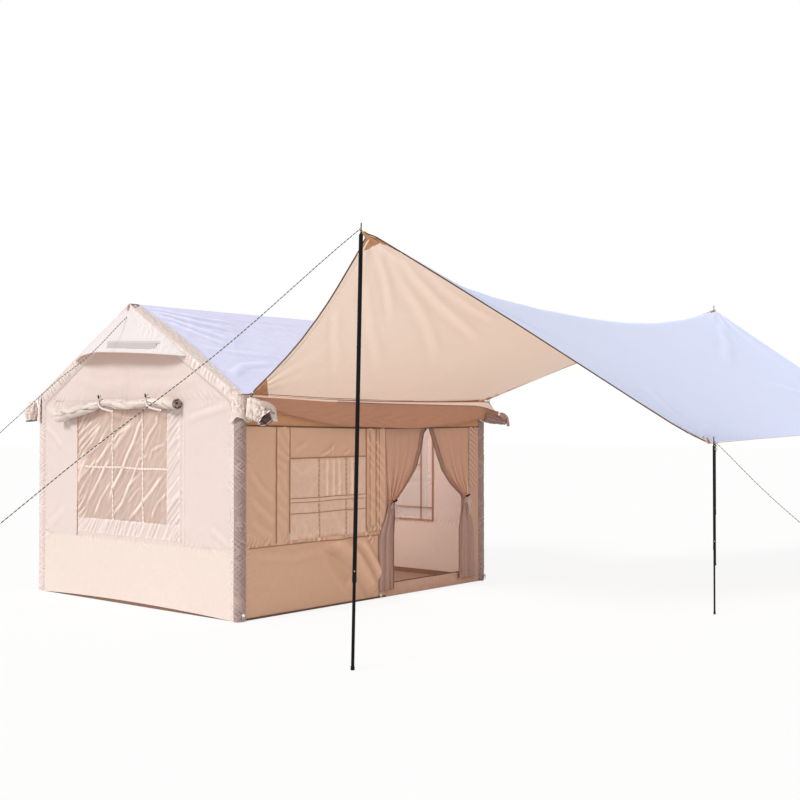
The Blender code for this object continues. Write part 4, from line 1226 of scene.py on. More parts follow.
# Y of the gable roll's ends and ties
ROLL_ENDS, ROLL_TIES = (1.00, -0.70), (0.343, -0.319)
# How much thinner a roll gets with each turn inwards, and its number of turns
ROLL_THINNING, ROLL_TURNS = 0.17, 4.0
ROLL_HEIGHTS = [(place, height) for place, height, _ in ROLL_SHARES]
ROLL_THICKS = [(place, thick) for place, _, thick in ROLL_SHARES]


def rolled_cloth(plan, turn, share, length, seed):
    """Thickness, angle and creases at one place of a rolled cover."""
    thick = plan.size.roll * smooth_ramp(share, ROLL_THICKS)
    fold = 0.16 * streaks(turn * 0.38 + share * 0.45, share * length, 0.10, 0.50, seed)
    return thick, 2 * pi * turn - 0.9 * share, fold


def wall_lift(y, z):
    """How far the gable wall's cloth stands proud of its flat place."""
    lift = 0.004 * ripple(y, z, 0.45, 1.0) + folds_at(y, z, GABLE_FOLDS)
    lift += 0.0065 * pucker(y, z - 0.557, 0.055, 0.030, 1.0)
    lift += 0.0090 * pucker(y, z - UPPER_SEAM, 0.060, 0.034, 2.0) * (0.35 + 0.65 * abs(y) / 1.3)
    lift += 0.0060 * pucker(z, 1.29 - abs(y), 0.050, 0.030, 3.0) * (1 if z < 1.7 else 0)
    lift += 0.0050 * pucker(z, HOLE[1] + 0.01 - y, 0.045, 0.024, 4.0) * (HOLE[2] < z < HOLE[3])
    lift += 0.0050 * pucker(z, y - HOLE[0] + 0.01, 0.055, 0.024, 5.0) * (HOLE[2] < z < HOLE[3])
    lift += 0.0050 * pucker(y, HOLE[2] - z, 0.045, 0.018, 6.0) * (HOLE[0] < y < HOLE[1])
    return lift + 0.003 * crumple(y, z, 0.35, 8.0) - 0.002


def net_lift(y, z):
    """Height of the net's folds, and a share that makes them more opaque and paints them lighter as
    highlight.
    """
    edge = rim_fade(y, z, HOLE, 0.012)
    lift = 0.6 * folds_at(y, z, NET_FOLDS)
    across, along = 0.87 * y + 0.5 * z, 0.87 * z - 0.5 * y
    lift += 0.004 * streaks(across, along, 0.075, 0.35, 3.0)
    shallow, slope = 0.70 * (y + z), 0.70 * (z - y)
    if y > 0.58:
        lift = max(lift, 0.012 * streaks(shallow, slope, 0.055, 0.40, 5.0) * clamp((y - 0.58) / 0.1))
    if y < RUFFLE_Y:
        lift = 0.013 * streaks(shallow, slope, 0.046, 0.50, 6.0)
    if z < RUFFLE_Z:
        lift = max(lift * 0.7, 0.012 * streaks(across, along, 0.055, 0.60, 8.0))
    return lift * edge, clamp(lift / 0.016) ** 1.5 * edge


# Heights of a hood's top, its level lip and its start at the back, and the curve of its lip
HOOD_TOP, HOOD_LOW, HOOD_BACK = 2.560, 2.15, 2.586
HOOD_LIP = ((0.0, 2.118), (0.22, 2.150), (0.48, 2.176), (0.70, 2.192), (0.85, 2.168), (1.0, 2.118))


class TENT_OT_gables(Operator):
    """Gable walls, nets with tapes, rolled covers and vent hoods"""

    bl_idname = "tent.gables"
    bl_label = "Gables"

    def execute(self, context):
        plan, finish = Plan(), Finishes()
        size = plan.size
        left, right, bottom, top = HOLE
        reach = plan.column_y - plan.reach
        outline = arch_path(plan, plan.reach, plan.bottom)
        half = [(point.z, abs(point.y)) for point in outline if point.y >= -0.0001]
        half.sort()
        peak = half[-1][0] - 0.004

        def half_at(z):
            for (z0, y0), (z1, y1) in zip(half, half[1:]):
                if z <= z1:
                    return y0 + (y1 - y0) * (z - z0) / max(z1 - z0, 1e-6)
            return 0.01

        def wall_point(y, z):
            across = y
            if z > top:
                across = y * max(half_at(z), 0.012) / reach
            height = z
            if z < bottom:
                rise = 0.026 * (1 - (y / reach) ** 2)
                height = z + rise * (1 - (z - plan.bottom) / (bottom - plan.bottom))
            lift = wall_lift(across, z) * clamp((reach - abs(y)) / 0.02)
            return Vector((-plan.wall_x - lift, across, height))

        ys = spread(-reach, 40, left, 96, right, 34, reach)
        zs = spread(plan.bottom, 40, bottom, 76, top, 4, top + 0.02, 56, peak)
        wall = Cloth()
        wall.grid(wall_point, ys, zs, lambda y, z: 1 if z < size.skirt else 0,
                  lambda y, z: left < y < right and bottom < z < top)
        base = -plan.wall_x + 0.0005

        def net_point(y, z):
            lift, pale = net_lift(y, z)
            return Vector((base - lift, y, z)), pale

        def plain_point(y, z):
            return Vector((base - 0.3 * net_lift(max(y, -0.45), max(z, 0.75))[0], y, z))

        outward = (-1, 0, 0)
        net_grid = (spread(left + 0.001, 150, right - 0.001),
                    spread(bottom + 0.001, 116, top - 0.001))
        net, plain, tapes, seams, zips, inner = (Cloth() for _ in range(6))
        net.grid(net_point, *net_grid, lambda y, z: 1 if y < RUFFLE_Y or z < RUFFLE_Z else 0)
        plain.grid(plain_point, *net_grid)
        for y in TAPE_YS:
            run = [(y + 0.02 * (z - 1.2), z) for z in spread(RUFFLE_Z, 70, top - 0.01)]
            tapes.tape(net_point, run, outward, 0.003, 0.017)
        run = [(y, TAPE_Z + 0.006 * ripple(y, 0, 0.3)) for y in spread(RUFFLE_Y, 90, right - 0.12)]
        tapes.tape(net_point, run, outward, 0.004, 0.017)
        runs = [
            ([(y, size.skirt) for y in spread(-reach + 0.02, 160, reach - 0.02)], 0.008),
            ([(y, UPPER_SEAM) for y in spread(-1.25, 160, 1.25)], 0.008),
            ([(left - 0.006, z) for z in spread(bottom - 0.02, 100, top)], 0.007),
            ([(left - 0.050, z) for z in spread(bottom - 0.02, 100, top)], 0.005),
        ]
        for run, width in runs:
            seams.tape(wall_point, run, outward, 0.0015, width)
        frames = (((-0.580, 0.565), (-0.580, top)), ((-0.735, 0.560), (-0.735, 1.70)),
                  ((-0.735, 0.562), (right, 0.562)), ((-0.735, 0.690), (right, 0.690)),
                  ((-0.580, 1.131), (right, 1.131)))
        for (y0, z0), (y1, z1) in frames:
            path = [Vector((-plan.wall_x + 0.012, y0 + (y1 - y0) * k / 40, z0 + (z1 - z0) * k / 40))
                    for k in range(41)]
            inner.ribbon(path, (1, 0, 0), 0.014, 0.003)
        run = [(right + 0.006, z) for z in spread(bottom - 0.03, 100, top)]
        zips.tape(wall_point, run, outward, 0.002, 0.010, 0.003)
        roll, ties, toggles = self.rolled_cover(plan)
        hood, trims, batten = self.vent_hood(plan)
        cover = self.rafter_cover(plan)
        for side, name in ((0, "left"), (1, "right")):
            face = (-1, 0, 0) if side == 0 else (1, 0, 0)

            def on(cloth):
                return cloth.mirrored(0) if side else cloth

            sew("gable_cloth_" + name, on(wall), [finish.gable, finish.skirt], face, size.cloth,
                ["gable_wall_" + name], flat=(2.67, 2.50), crease_shading=1.6)
            sew("gable_net_" + name, on(plain if side else net), [finish.net, finish.gable],
                face, size.soft,
                ["gable_window_" + name], flat=(1.52, 1.17), crease_shading=1.6)
            sew("gable_tapes_" + name, on(tapes), [finish.pale_braid])
            sew("gable_seams_" + name, on(seams), [finish.skirt])
            sew("gable_zip_" + name, on(zips), [finish.seam])
            sew("gable_frame_" + name, on(inner), [finish.seam])
            # The roll's inner faces take the darker second finish, painted shade in its hollows.
            sew("rolled_cover_" + name, on(roll), [finish.bundle, finish.lining], (0, 0, 1), ROLLED,
                ["gable_roll_" + name], inner=1, flat=(1.74, 1.0),
                crease_shading=2.4)
            sew("rolled_cover_ties_" + name, on(ties), [finish.bundle])
            sew("rolled_cover_toggles_" + name, on(toggles), [finish.black])
            sew("rafter_cover_" + name, on(cover), [finish.band], face, THIN,
                flat=(3.08, 0.115), crease_shading=1.8)
            # The hood's inner side takes the orange, glowing second finish: painted warm light under the
            # hood.
            sew("hood_cloth_" + name, on(hood), [finish.hood, finish.hood_under], (face[0], 0, 0.4),
                size.soft, ["vent_hood_" + name], inner=1, flat=(1.60, 0.50))
            sew("hood_trims_" + name, on(trims), [finish.hood])
            sew("hood_batten_shadow_" + name, on(batten), [finish.batten])
        return {"FINISHED"}

    def rafter_cover(self, plan):
        """Crinkled cloth over the rafters, from the roof's edge to the gable wall."""
        size, cloth = plan.size, Cloth()
        length = hypot(plan.half_width, size.ridge - size.eave)
        for turn in (-1, 1):
            def cover_point(run, across):
                z = size.ridge - 0.003 - run * sin(plan.slope) - across * 0.115
                fold = streaks(run + across * 0.05, across * 0.115 - run * 0.2, 0.045, 0.30, 2.0 + turn)
                deep = 0.008 if z < 2.12 else 0.004
                out = 0.003 + deep * fold * min(1.0, 8 * across, 4 * (1 - across))
                out -= 0.024 * across ** 4
                return Vector((-plan.half_length - out, turn * run * cos(plan.slope), z)), fold
            cloth.grid(cover_point, spread(0.0, 170, length * 0.945), spread(0.0, 14, 1.0),
                       scale=(1.0, 0.15))
        return cloth

    def rolled_cover(self, plan):
        """The rolled window cover as a spiral of cloth, its ties and their toggles."""
        size = plan.size
        x = -(plan.wall_x + size.gap + size.roll)
        start, end = ROLL_ENDS
        lowest = HOLE[3] - size.roll

        def centre(share):
            z = lowest + size.roll * 2 * smooth_ramp(share, ROLL_HEIGHTS)
            return Vector((x, start + (end - start) * share, z))

        def roll_point(turn, share):
            middle = centre(share)
            thick, angle, fold = rolled_cloth(plan, turn, share, 1.74, 2.0)
            wound = 1 - ROLL_THINNING * turn
            fold -= 0.22 * ripple(angle * 0.05, share * 1.7, 0.12, 6.0)
            fold -= 0.35 * clamp(1 - share / 0.12) * abs(sin(angle))
            twist = 0.05 * sin(2 * angle + share * 9)
            pinch = 0.9 + 0.1 * thick / size.roll
            away = thick * (wound - fold + twist * (1.1 - thick / size.roll)) * pinch
            flat = 1.0 if sin(angle) > 0 else 0.97
            offset = Vector((-cos(angle) * away * flat, 0, sin(angle) * away))
            offset.x = min(offset.x, size.roll - 0.001)
            return middle + offset, clamp(1 - fold * 5)

        cloth = Cloth()
        cloth.grid(roll_point, spread(0.0, 140, ROLL_TURNS), spread(0.0, 150, 1.0), scale=(0.25, 1.7))
        ties, toggles = Cloth(), Cloth()
        for y in ROLL_TIES:
            share = (start - y) / (start - end)
            middle = centre(share)
            radius = size.roll * smooth_ramp(share, ROLL_THICKS) + 0.003
            loop = [middle + Vector((-cos(a) * radius, 0.008 * sin(a), sin(a) * radius))
                    for a in turns(30)]
            ties.ribbon(loop, [spot - middle for spot in loop], 0.018, 0.002)
            tail = [middle + Vector(step) for step in
                    ((-0.02, 0.0, radius), (-radius - 0.004, -0.012, 0.012),
                     (-radius - 0.010, -0.05, -0.04), (-radius - 0.008, -0.16, -0.062),
                     (-radius + 0.002, -0.22, -0.070))]
            ties.ribbon(resample(softened(tail), 0.008), (-1, 0, 0.2), 0.016, 0.0016)
            knob = [middle + Vector(step) for step in
                    ((-0.015, 0.022, radius + 0.030), (-0.022, 0.012, radius + 0.014),
                     (-0.030, -0.004, radius + 0.004))]
            toggles.tube(resample(knob, 0.006), 0.0065, 10, 0)
            hook = [middle + Vector(step) for step in
                    ((-0.024, -0.030, radius + 0.028), (-0.028, -0.014, radius + 0.014),
                     (-0.030, 0.000, radius + 0.006))]
            toggles.tube(resample(hook, 0.006), 0.0028, 8, 0)
        return cloth, ties, toggles

    def vent_hood(self, plan):
        """A hood whose gathered lower lip stands off the wall, with its hem, a pale strap across it and
        a grey strip below that strap as painted shadow.
        """
        size = plan.size
        face = plan.half_length + size.gap + size.soft + 0.008
        grade = tan(plan.slope)

        def ends(z):
            """Y of the hood's back and front end at a height."""
            return (HOOD_BACK - z) / grade, -(size.ridge - 0.012 - z) / grade

        def hood_point(u, v):
            z = HOOD_TOP + (HOOD_LOW - HOOD_TOP) * v
            back, front = ends(z)
            y = front + (back - front) * u
            across = 2 * u - 1
            bulge = 0.12 * v ** 1.5 * (1 - across ** 4)
            low = z + (smooth_ramp((y + 0.85) / 1.66, HOOD_LIP) - HOOD_LOW) * v * v
            gather = crumple(y, z * 0.8, 0.06, 5.0) * clamp(abs(across) * 1.6 - 0.6)
            soft = 0.008 * ripple(y, z, 0.22, 2.0) * sin(pi * u) * v
            proud = 0.012 * gather * clamp((1 - abs(across)) / 0.03)
            return Vector((-face - bulge - proud - max(soft, -bulge * 0.8), y, low)), gather * 0.8

        def strap(cloth, start, end, height, width, thickness):
            """A strap across the hood, which rises a little towards its back."""
            path = []
            for y in spread(start, 50, end):
                z = height + 0.012 * (y - 0.1)
                back, front = ends(z)
                spot = hood_point((y - front) / (back - front), (HOOD_TOP - z) / (HOOD_TOP - HOOD_LOW))
                path.append(spot[0] - Vector((0.004, 0, 0)))
            cloth.ribbon(path, (-1, 0, 0.3), width, thickness)

        cloth, trims, batten = Cloth(), Cloth(), Cloth()
        cloth.grid(hood_point, spread(0.0, 120, 1.0), spread(0.0, 60, 1.0), scale=(1.3, 0.4))
        trims.tube([hood_point(step / 90, 1.0)[0] for step in range(91)], 0.0060, 8, 0)
        strap(trims, 0.19, -0.50, 2.248, 0.020, 0.009)
        # A grey strip just under the pale strap: painted shadow.
        strap(batten, 0.17, -0.48, 2.214, 0.050, 0.003)
        return cloth, trims, batten


# ---------------------------------------------------------------- front wall

# Folds of the front wall: runs of (X, Z), width, height
FRONT_FOLDS = (
    (((-0.66, 0.60), (-0.45, 0.52), (-0.25, 0.38), (-0.12, 0.20), (-0.02, 0.06)), 0.11, 0.055),
    (((-0.24, 0.57), (-0.12, 0.44), (-0.02, 0.30), (0.06, 0.18)), 0.08, 0.045),
    (((-0.60, 0.52), (-0.50, 0.36), (-0.40, 0.25), (-0.32, 0.17)), 0.11, -0.022),
    (((-1.50, 1.18), (-1.36, 1.02), (-1.24, 0.94)), 0.05, 0.008),
    (((-1.50, 0.98), (-1.34, 0.84), (-1.23, 0.76)), 0.05, 0.008),
    (((-1.50, 0.80), (-1.36, 0.70), (-1.24, 0.64)), 0.05, 0.007),
    (((-0.71, 1.284), (-0.585, 1.333), (-0.522, 1.393)), 0.025, 0.010),
    (((-0.56, 1.29), (-0.545, 1.36)), 0.022, 0.008),
    (((-0.406, 1.294), (-0.335, 1.333)), 0.020, 0.008),
    (((-1.0, 1.33), (-0.85, 1.40)), 0.04, 0.006),
    (((-1.45, 0.50), (-1.0, 0.46), (-0.6, 0.50)), 0.06, 0.006),
)
# The front window's hole (left, right, bottom, top) and the X of its two zips
PANE = (-1.06, -0.12, 0.60, 1.27)
ZIP_XS = (-1.080, -0.100)


# Strips sewn beside the window and the door post: from X, to X, lower edge
SEWN_STRIPS = ((-1.212, -1.067, 0.575), (-0.118, -0.006, 0.66), (0.004, 0.134, 0.60))
# Upright seams of the front wall: X, lower end, steps, width
UPRIGHT_SEAMS = (
    (-1.214, 0.59, 100, 0.011), (-1.064, 0.66, 90, 0.011), (-0.120, 0.62, 90, 0.010),
    (-0.074, 0.64, 90, 0.006), (0.015, 0.60, 90, 0.0078), (0.052, 0.60, 90, 0.006),
)


def header_rise(x):
    """How far the seam under the header runs above its level, from left to right."""
    return ramp(x, ((-1.54, 0.023), (-1.0, 0.012), (-0.3, -0.002), (0.5, -0.008), (1.54, 0.0)))


def front_lift(x, z):
    """How far the front wall's cloth stands proud of its flat place."""
    lift = 0.004 * ripple(x, z, 0.40, 11.0) + folds_at(x, z, FRONT_FOLDS)
    if z > 0.57:
        lift += 0.014 * pucker(x, z - 0.590, 0.040, 0.034, 5.0) * clamp((0.10 - x) / 0.05)
        lift += 0.007 * streaks(x + 0.6 * z, z, 0.040, 0.08, 7.0) * exp(-(z - 0.57) / 0.05)
    lift += 0.003 * pucker(z, x + 1.52, 0.06, 0.02, 6.0)
    away = hypot(x + 0.055, z - 0.585)
    turn = atan2(z - 0.585, x + 0.055)
    lift += 0.032 * exp(-(away / 0.065) ** 2) * (0.5 + 0.5 * sin(6 * turn + away * 55))
    return (lift + 0.003 * crumple(x, z, 0.30, 12.0) - 0.002) * off_track(x, z)


def off_track(x, z):
    """0 along the flat tracks of the two zip sliders, 1 away from them."""
    away = min(abs(x - ZIP_XS[0]), abs(x - ZIP_XS[1])) - 0.008
    return max(clamp(away / 0.02), clamp((0.600 - z) / 0.02), clamp((z - 1.255) / 0.02))


class TENT_OT_front_wall(Operator):
    """Front wall with its window, sewn strips, header, side strip and door sill"""

    bl_idname = "tent.front_wall"
    bl_label = "Front Wall"

    def execute(self, context):
        plan, finish = Plan(), Finishes()
        size = plan.size
        edge = plan.column_x - plan.reach
        left, right, bottom, top = PANE

        def wall_point(x, z):
            rim = min(clamp((edge - abs(x)) / 0.02), clamp((size.header - z) / 0.02),
                      clamp((size.door_left - x) / 0.006))
            rise = header_rise(x) * clamp((z - top) / (size.header - top))
            return Vector((x, -plan.wall_y - front_lift(x, z) * rim, z + rise))

        wall = Cloth()
        wall.grid(wall_point, spread(-edge, 40, left, 76, right, 26, size.door_left),
                  spread(plan.bottom, 52, bottom, 56, top, 22, size.header), 0,
                  lambda x, z: left < x < right and bottom < z < top)
        sew("front_wall_cloth", wall, [finish.wall], (0, -1, 0), size.cloth,
            ["front_window_wall"], flat=(1.69, 1.53), crease_shading=1.6)
        net = Cloth()

        def net_point(x, z):
            rim = rim_fade(x, z, PANE, 0.03)
            lift = 0.004 * ripple(x, z, 0.3, 4.0) + 0.004 * crumple(x, z, 0.2, 5.0)
            lift += 0.008 * clamp((0.74 - z) / 0.15) * crumple(x, z * 0.3, 0.09, 6.0)
            for place in (-0.62, -0.54, -0.47, -0.31):
                lift += 0.010 * exp(-((x - place) / 0.018) ** 2) * clamp((z - 0.94) / 0.02)
            return Vector((x, -plan.wall_y + 0.001 - lift * rim, z)), clamp(lift / 0.02)

        net.grid(net_point, spread(left + 0.001, 90, right - 0.001),
                 spread(bottom + 0.001, 64, top - 0.001))
        sew("front_net", net, [finish.front_net], (0, -1, 0), size.soft, ["front_window"],
            flat=(0.94, 0.67))
        tapes, seams, strips = Cloth(), Cloth(), Cloth()
        outward = (0, -1, 0)
        for x in (-0.715, -0.380):
            tapes.tape(net_point, [(x, z) for z in spread(bottom, 50, top)], outward, 0.003, 0.016)
        for z, width, slot in ((0.925, 0.026, 1), (0.942, 0.005, 2), (0.908, 0.005, 2),
                               (0.815, 0.006, 2)):
            run = [(x, z + 0.004 * ripple(x, 0.9, 0.3)) for x in spread(left, 60, right)]
            thick = 0.0014 if slot == 1 else 0.0024
            tapes.tape(net_point, run, outward, 0.003, width, thick, slot)
        sew("front_window_tapes", tapes, [finish.braid, finish.front_net, finish.seam],
            crease_shading=0.3)

        def strip_sheet(x0, x1, low, high):
            def strip_point(x, z):
                rim = min(1.0, (x - x0) / 0.01 + 0.2, (x1 - x) / 0.01 + 0.2)
                slant = (z + 0.8 * (x - x0)) / 0.11 + 0.9 * ripple(x, z, 0.25, x0)
                fold = 0.0060 * (0.5 + 0.5 * sin(2 * pi * slant)) * rim
                return wall_point(x, z) - Vector((0, (0.0025 + fold) * off_track(x, z), 0))
            strips.grid(strip_point, spread(x0, 12, x1), spread(low, 90, high))

        high = size.header - 0.004
        for x0, x1, low in SEWN_STRIPS:
            strip_sheet(x0, x1, low, high)
        sew("front_strips", strips, [finish.wall], (0, -1, 0), STRIP,
            flat=(0.40, 0.93))
        lines = [([(x, z) for z in spread(low, steps, high)], width)
                 for x, low, steps, width in UPRIGHT_SEAMS]
        lines += [([(x, top + 0.006) for x in spread(-1.064, 80, -0.118)], 0.010),
                  ([(x, 0.570) for x in spread(-1.52, 140, 0.05)], 0.010)]
        for run, width in lines:
            above = 0.0045 if width > 0.008 else 0.0070
            seams.tape(wall_point, run, outward, above, width, STRIP)
        path = [Vector((x, -plan.wall_y - 0.006, size.header - 0.003 + header_rise(x))) for x in
                spread(-edge, 100, edge)]
        seams.ribbon(path, (0, -1, 0), 0.011, 0.003)
        run = [(x, 0.012) for x in spread(-edge, 100, size.door_left)]
        seams.tape(wall_point, run, outward, 0.003, 0.014, 0.003)
        path = [Vector((x, -plan.wall_y - 0.004, size.sill - 0.004 + 0.003 * ripple(x, 0, 0.2)))
                for x in spread(size.door_left, 70, size.door_right)]
        seams.ribbon(path, (0, -1, 0), 0.010, 0.004)
        sew("front_seams", seams, [finish.seam])
        self.flat_pieces(plan, finish, edge)
        return {"FINISHED"}

    def flat_pieces(self, plan, finish, edge):
        """Header, strip right of the door and the door sill."""
        size = plan.size
        top = plan.corner_z - plan.reach

        def soft_sheet(name, x0, x1, z0, z1, look, node_name, columns, rows, seed):
            def point(x, z):
                rim = min(clamp((x - x0) / 0.02), clamp((x1 - x) / 0.02),
                          clamp((z - z0) / 0.01), clamp((z1 - z) / 0.01))
                lift = 0.005 * ripple(x, z, 0.25, seed) + 0.005 * crumple(x, z, 0.14, seed)
                rise = header_rise(x) * (z1 - z) / (z1 - z0) if z0 > size.header else 0.0
                return Vector((x, -plan.wall_y - lift * rim, z + rise))
            cloth = Cloth()
            cloth.grid(point, spread(x0, columns, x1), spread(z0, rows, z1))
            sew(name, cloth, [look], (0, -1, 0), size.cloth, [node_name],
                flat=(x1 - x0, z1 - z0))

        soft_sheet("header_cloth", -edge, edge, size.header + size.gap, top, finish.header,
                   "front_header", 150, 12, 3.0)
        soft_sheet("side_strip_cloth", size.door_right, edge, plan.bottom, size.header,
                   finish.strip, "door_side_strip", 12, 90, 4.0)
        soft_sheet("sill_cloth", size.door_left + size.gap, size.door_right - size.gap,
                   plan.bottom, size.sill, finish.strip, "door_sill", 80, 10, 5.0)
        ruffle = Cloth()

        def ruffle_point(x, z):
            slant = (z + 0.9 * (x - 1.37)) / 0.050 + 0.8 * ripple(x, z, 0.2, 7.0)
            rim = min(1.0, (x - 1.37) / 0.01 + 0.2, (1.50 - x) / 0.01 + 0.2)
            fold = 0.006 * (0.5 + 0.5 * sin(2 * pi * slant)) * rim
            return Vector((x, -plan.wall_y - 0.004 - fold, z))

        ruffle.grid(ruffle_point, spread(1.385, 14, 1.500), spread(0.93, 110, size.header - 0.002))
        sew("side_ruffle", ruffle, [finish.strip], (0, -1, 0), STRIP, flat=(0.13, 0.62))


# ---------------------------------------------------------------- curtains and flap

# Inner edge of each curtain from the header down to the tie, as shares of its way in
LEFT_EDGE = ((0.0, 1.0), (0.07, 0.86), (0.3, 0.78), (0.56, 0.62), (0.72, 0.44), (0.88, 0.22),
             (1.0, 0.0))
RIGHT_EDGE = ((0.0, 1.0), (0.33, 0.80), (0.6, 0.62), (0.8, 0.38), (0.95, 0.1), (1.0, 0.0))
# Heights of the curtains' hems and ties, and where a tie starts and how wide the cloth is there
CURTAIN_HEM, CURTAIN_TIE, TIE_IN, TIE_WIDE = 0.06, 0.86, 0.030, 0.085
# Each curtain: its side, how far its hem lies past the post, its width there, its inner edge
CURTAINS = {"left": (-1, 0.100, 0.190, LEFT_EDGE), "right": (1, 0.085, 0.260, RIGHT_EDGE)}
# Cords of a tie: how far each hangs down and out
TIE_CORDS = ((0.19, 0.05), (0.15, 0.09), (0.06, -0.05))
DOOR_TOGGLE = ((0.004, -0.030), (0.0085, -0.026), (0.0085, 0.026), (0.004, 0.030))
# Heights of the eave flap's upper and lower edges along its length
FLAP_TOP = ((0.0, 1.780), (0.12, 1.770), (0.25, 1.753), (0.5, 1.741), (0.90, 1.734),
            (0.955, 1.702), (1.0, 1.670))
FLAP_LOW = ((0.0, 1.780), (0.08, 1.676), (0.177, 1.612), (0.293, 1.558), (0.46, 1.537),
            (0.612, 1.525), (0.719, 1.549), (0.813, 1.577), (0.91, 1.616), (1.0, 1.662))


class TENT_OT_curtains(Operator):
    """Door curtains tied back in folds, and the flap under the front eave"""

    bl_idname = "tent.curtains"
    bl_label = "Curtains"

    def execute(self, context):
        plan, finish = Plan(), Finishes()
        self.curtain(plan, finish, "left", plan.size.door_left)
        self.curtain(plan, finish, "right", plan.size.door_right)
        self.eave_flap(plan, finish)
        return {"FINISHED"}

    def curtain(self, plan, finish, name, post):
        """One curtain, gathered at its tie, with bound edges, a cord and a toggle."""
        size = plan.size
        side, overlap, hem_wide, edge = CURTAINS[name]
        top, hem, tie = size.header + size.cloth, CURTAIN_HEM, CURTAIN_TIE
        tie_share = (top - tie) / (top - hem)
        face = -(plan.wall_y + size.gap + size.soft)
        tie_outer = post - side * TIE_IN
        tie_inner = tie_outer - side * TIE_WIDE
        hem_outer = post + side * overlap
        hem_inner = hem_outer - side * hem_wide

        def curtain_point(u, v):
            z = top + (hem - top) * v
            if v < tie_share:
                drop = v / tie_share
                outer = post + (tie_outer - post) * drop
                inner = tie_inner + (size.door_apex - tie_inner) * smooth_ramp(drop, edge)
                depth = 0.034 * (0.12 + 0.88 * drop ** 2.2) * min(1.0, v * 12)
            else:
                swell = ease(2.2 * (v - tie_share) / (1 - tie_share))
                outer = tie_outer + (hem_outer - tie_outer) * swell
                inner = tie_inner + (hem_inner - tie_inner) * swell
                depth = 0.022
            near_tie = exp(-((v - tie_share) / 0.05) ** 2)
            turn = u + 0.07 * ripple(u * 1.5, v * 0.7, 0.25, side) * (1 - near_tie)
            wave = (1 - cos(2 * pi * 5 * clamp(turn))) / 2
            below = ease((v - tie_share) * 8)
            broad = (1 - cos(2 * pi * (2.2 * clamp(turn) + 0.25 * v))) / 2
            wave += (0.8 * broad + 0.12 * wave - wave) * below
            deep = depth * 0.85 * wave * (1 - 0.25 * near_tie)
            x = outer + (inner - outer) * u + 0.008 * ripple(u * 3, v * 3, 0.4, side * 2) * clamp(
                u * 8) * clamp((1 - u) * 8)
            soft = 0.004 * crumple(x, z, 0.12, side)
            return Vector((x, face - max(0.0, deep) - soft, z)), wave * 0.5 * deep / 0.03

        def part(u, v):
            if u > 0.90 and v < tie_share:
                return 1
            return 2 if v > tie_share + 0.01 else 0

        cloth = Cloth()
        cloth.grid(curtain_point, spread(0.0, 120, 1.0), spread(0.0, 110, 1.0), part,
                   scale=(0.6, 1.45))
        sew("curtain_" + name, cloth, [finish.curtain, finish.lining, finish.fallen], (0, -1, 0),
            THIN, ["door_curtain_" + name], flat=(0.62, 1.47),
            crease_shading=0.6)
        facing = Cloth()
        low, high = sorted((post - side * 0.004, tie_outer - side * 0.006))
        facing.grid(lambda x, z: Vector((x, -plan.wall_y + 0.004, z)), spread(low, 4, high),
                    spread(size.sill, 30, size.header))
        sew("door_facing_" + name, facing, [finish.strip], (0, -1, 0), STRIP)
        bind = Cloth()
        for place, radius in ((1.0, 0.0055), (0.90, 0.0040)):
            path = [curtain_point(place, step / 90)[0] + Vector((0, -0.003, 0))
                    for step in range(91 if place == 1.0 else 46)]
            bind.tube(path, radius, 8, 0, (1, 0, 0))
        path = [curtain_point(step / 80, 1.0)[0] + Vector((0, -0.001, 0.002))
                for step in range(81)]
        bind.tube(path, 0.0032, 6, 0, (0, 0, 1))
        sew("curtain_binding_" + name, bind, [finish.seam])
        middle = Vector(((tie_outer + tie_inner) / 2, face - 0.018, tie))
        band = Cloth()
        loop = [middle + Vector((0.046 * cos(a), 0.023 * sin(a), 0.006 * cos(a) * side))
                for a in turns(32)]
        band.ribbon(loop, [spot - middle for spot in loop], 0.014, 0.0022)
        cord = Cloth()
        knot = middle + Vector((0.0, -0.026, 0.0))
        for drop, swing in TIE_CORDS:
            path = softened([knot, knot + Vector((swing * 0.7, -0.006, -drop * 0.45)),
                             knot + Vector((swing, -0.004, -drop)),
                             knot + Vector((swing * 0.4, -0.004, -drop * 0.92)),
                             knot + Vector((0.008, -0.002, -0.02))], 3)
            cord.tube(path, 0.0034, 6, 0, (0, 1, 0))
        sew("curtain_tie_" + name, band, [finish.seam])
        sew("curtain_cord_" + name, cord, [finish.bundle])
        turned("curtain_toggle_" + name, DOOR_TOGGLE, knot + Vector((0.004, -0.006, 0.002)),
               (1.0, 0.1, 0.25), finish.black, 14)

    def eave_flap(self, plan, finish):
        """The flap that hangs in a shallow arc, with its bound upper edge."""
        size = plan.size
        face = -(plan.half_width + size.gap + size.soft / 2)
        start, end = -plan.half_length + 0.135, plan.half_length + 0.170

        def flap_point(u, v):
            x = start + (end - start) * u
            upper = smooth_ramp(u, FLAP_TOP)
            lower = smooth_ramp(u, FLAP_LOW) - 0.006
            arc = 4 * u * (1 - u)
            z = upper + (lower - upper) * v
            fold = 0.006 * sin(2 * pi * (u * 7 + 0.4 * v + 0.5 * ripple(u, v, 0.3))) * v * arc
            soft = 0.006 * crumple(x, z, 0.25, 9.0) * v * arc
            clear = 0.030 * clamp((x - 1.35) / 0.15)
            return Vector((x, face - clear - 0.035 * arc * v ** 2 - abs(fold) - soft, z))

        cloth = Cloth()
        cloth.grid(flap_point, spread(0.0, 200, 1.0), spread(0.0, 22, 1.0), scale=(2.7, 0.25))
        sew("eave_flap_cloth", cloth, [finish.flap], (0, -1, 0), THIN, ["eave_flap"],
            flat=(3.15, 0.22))
        valance = Cloth()

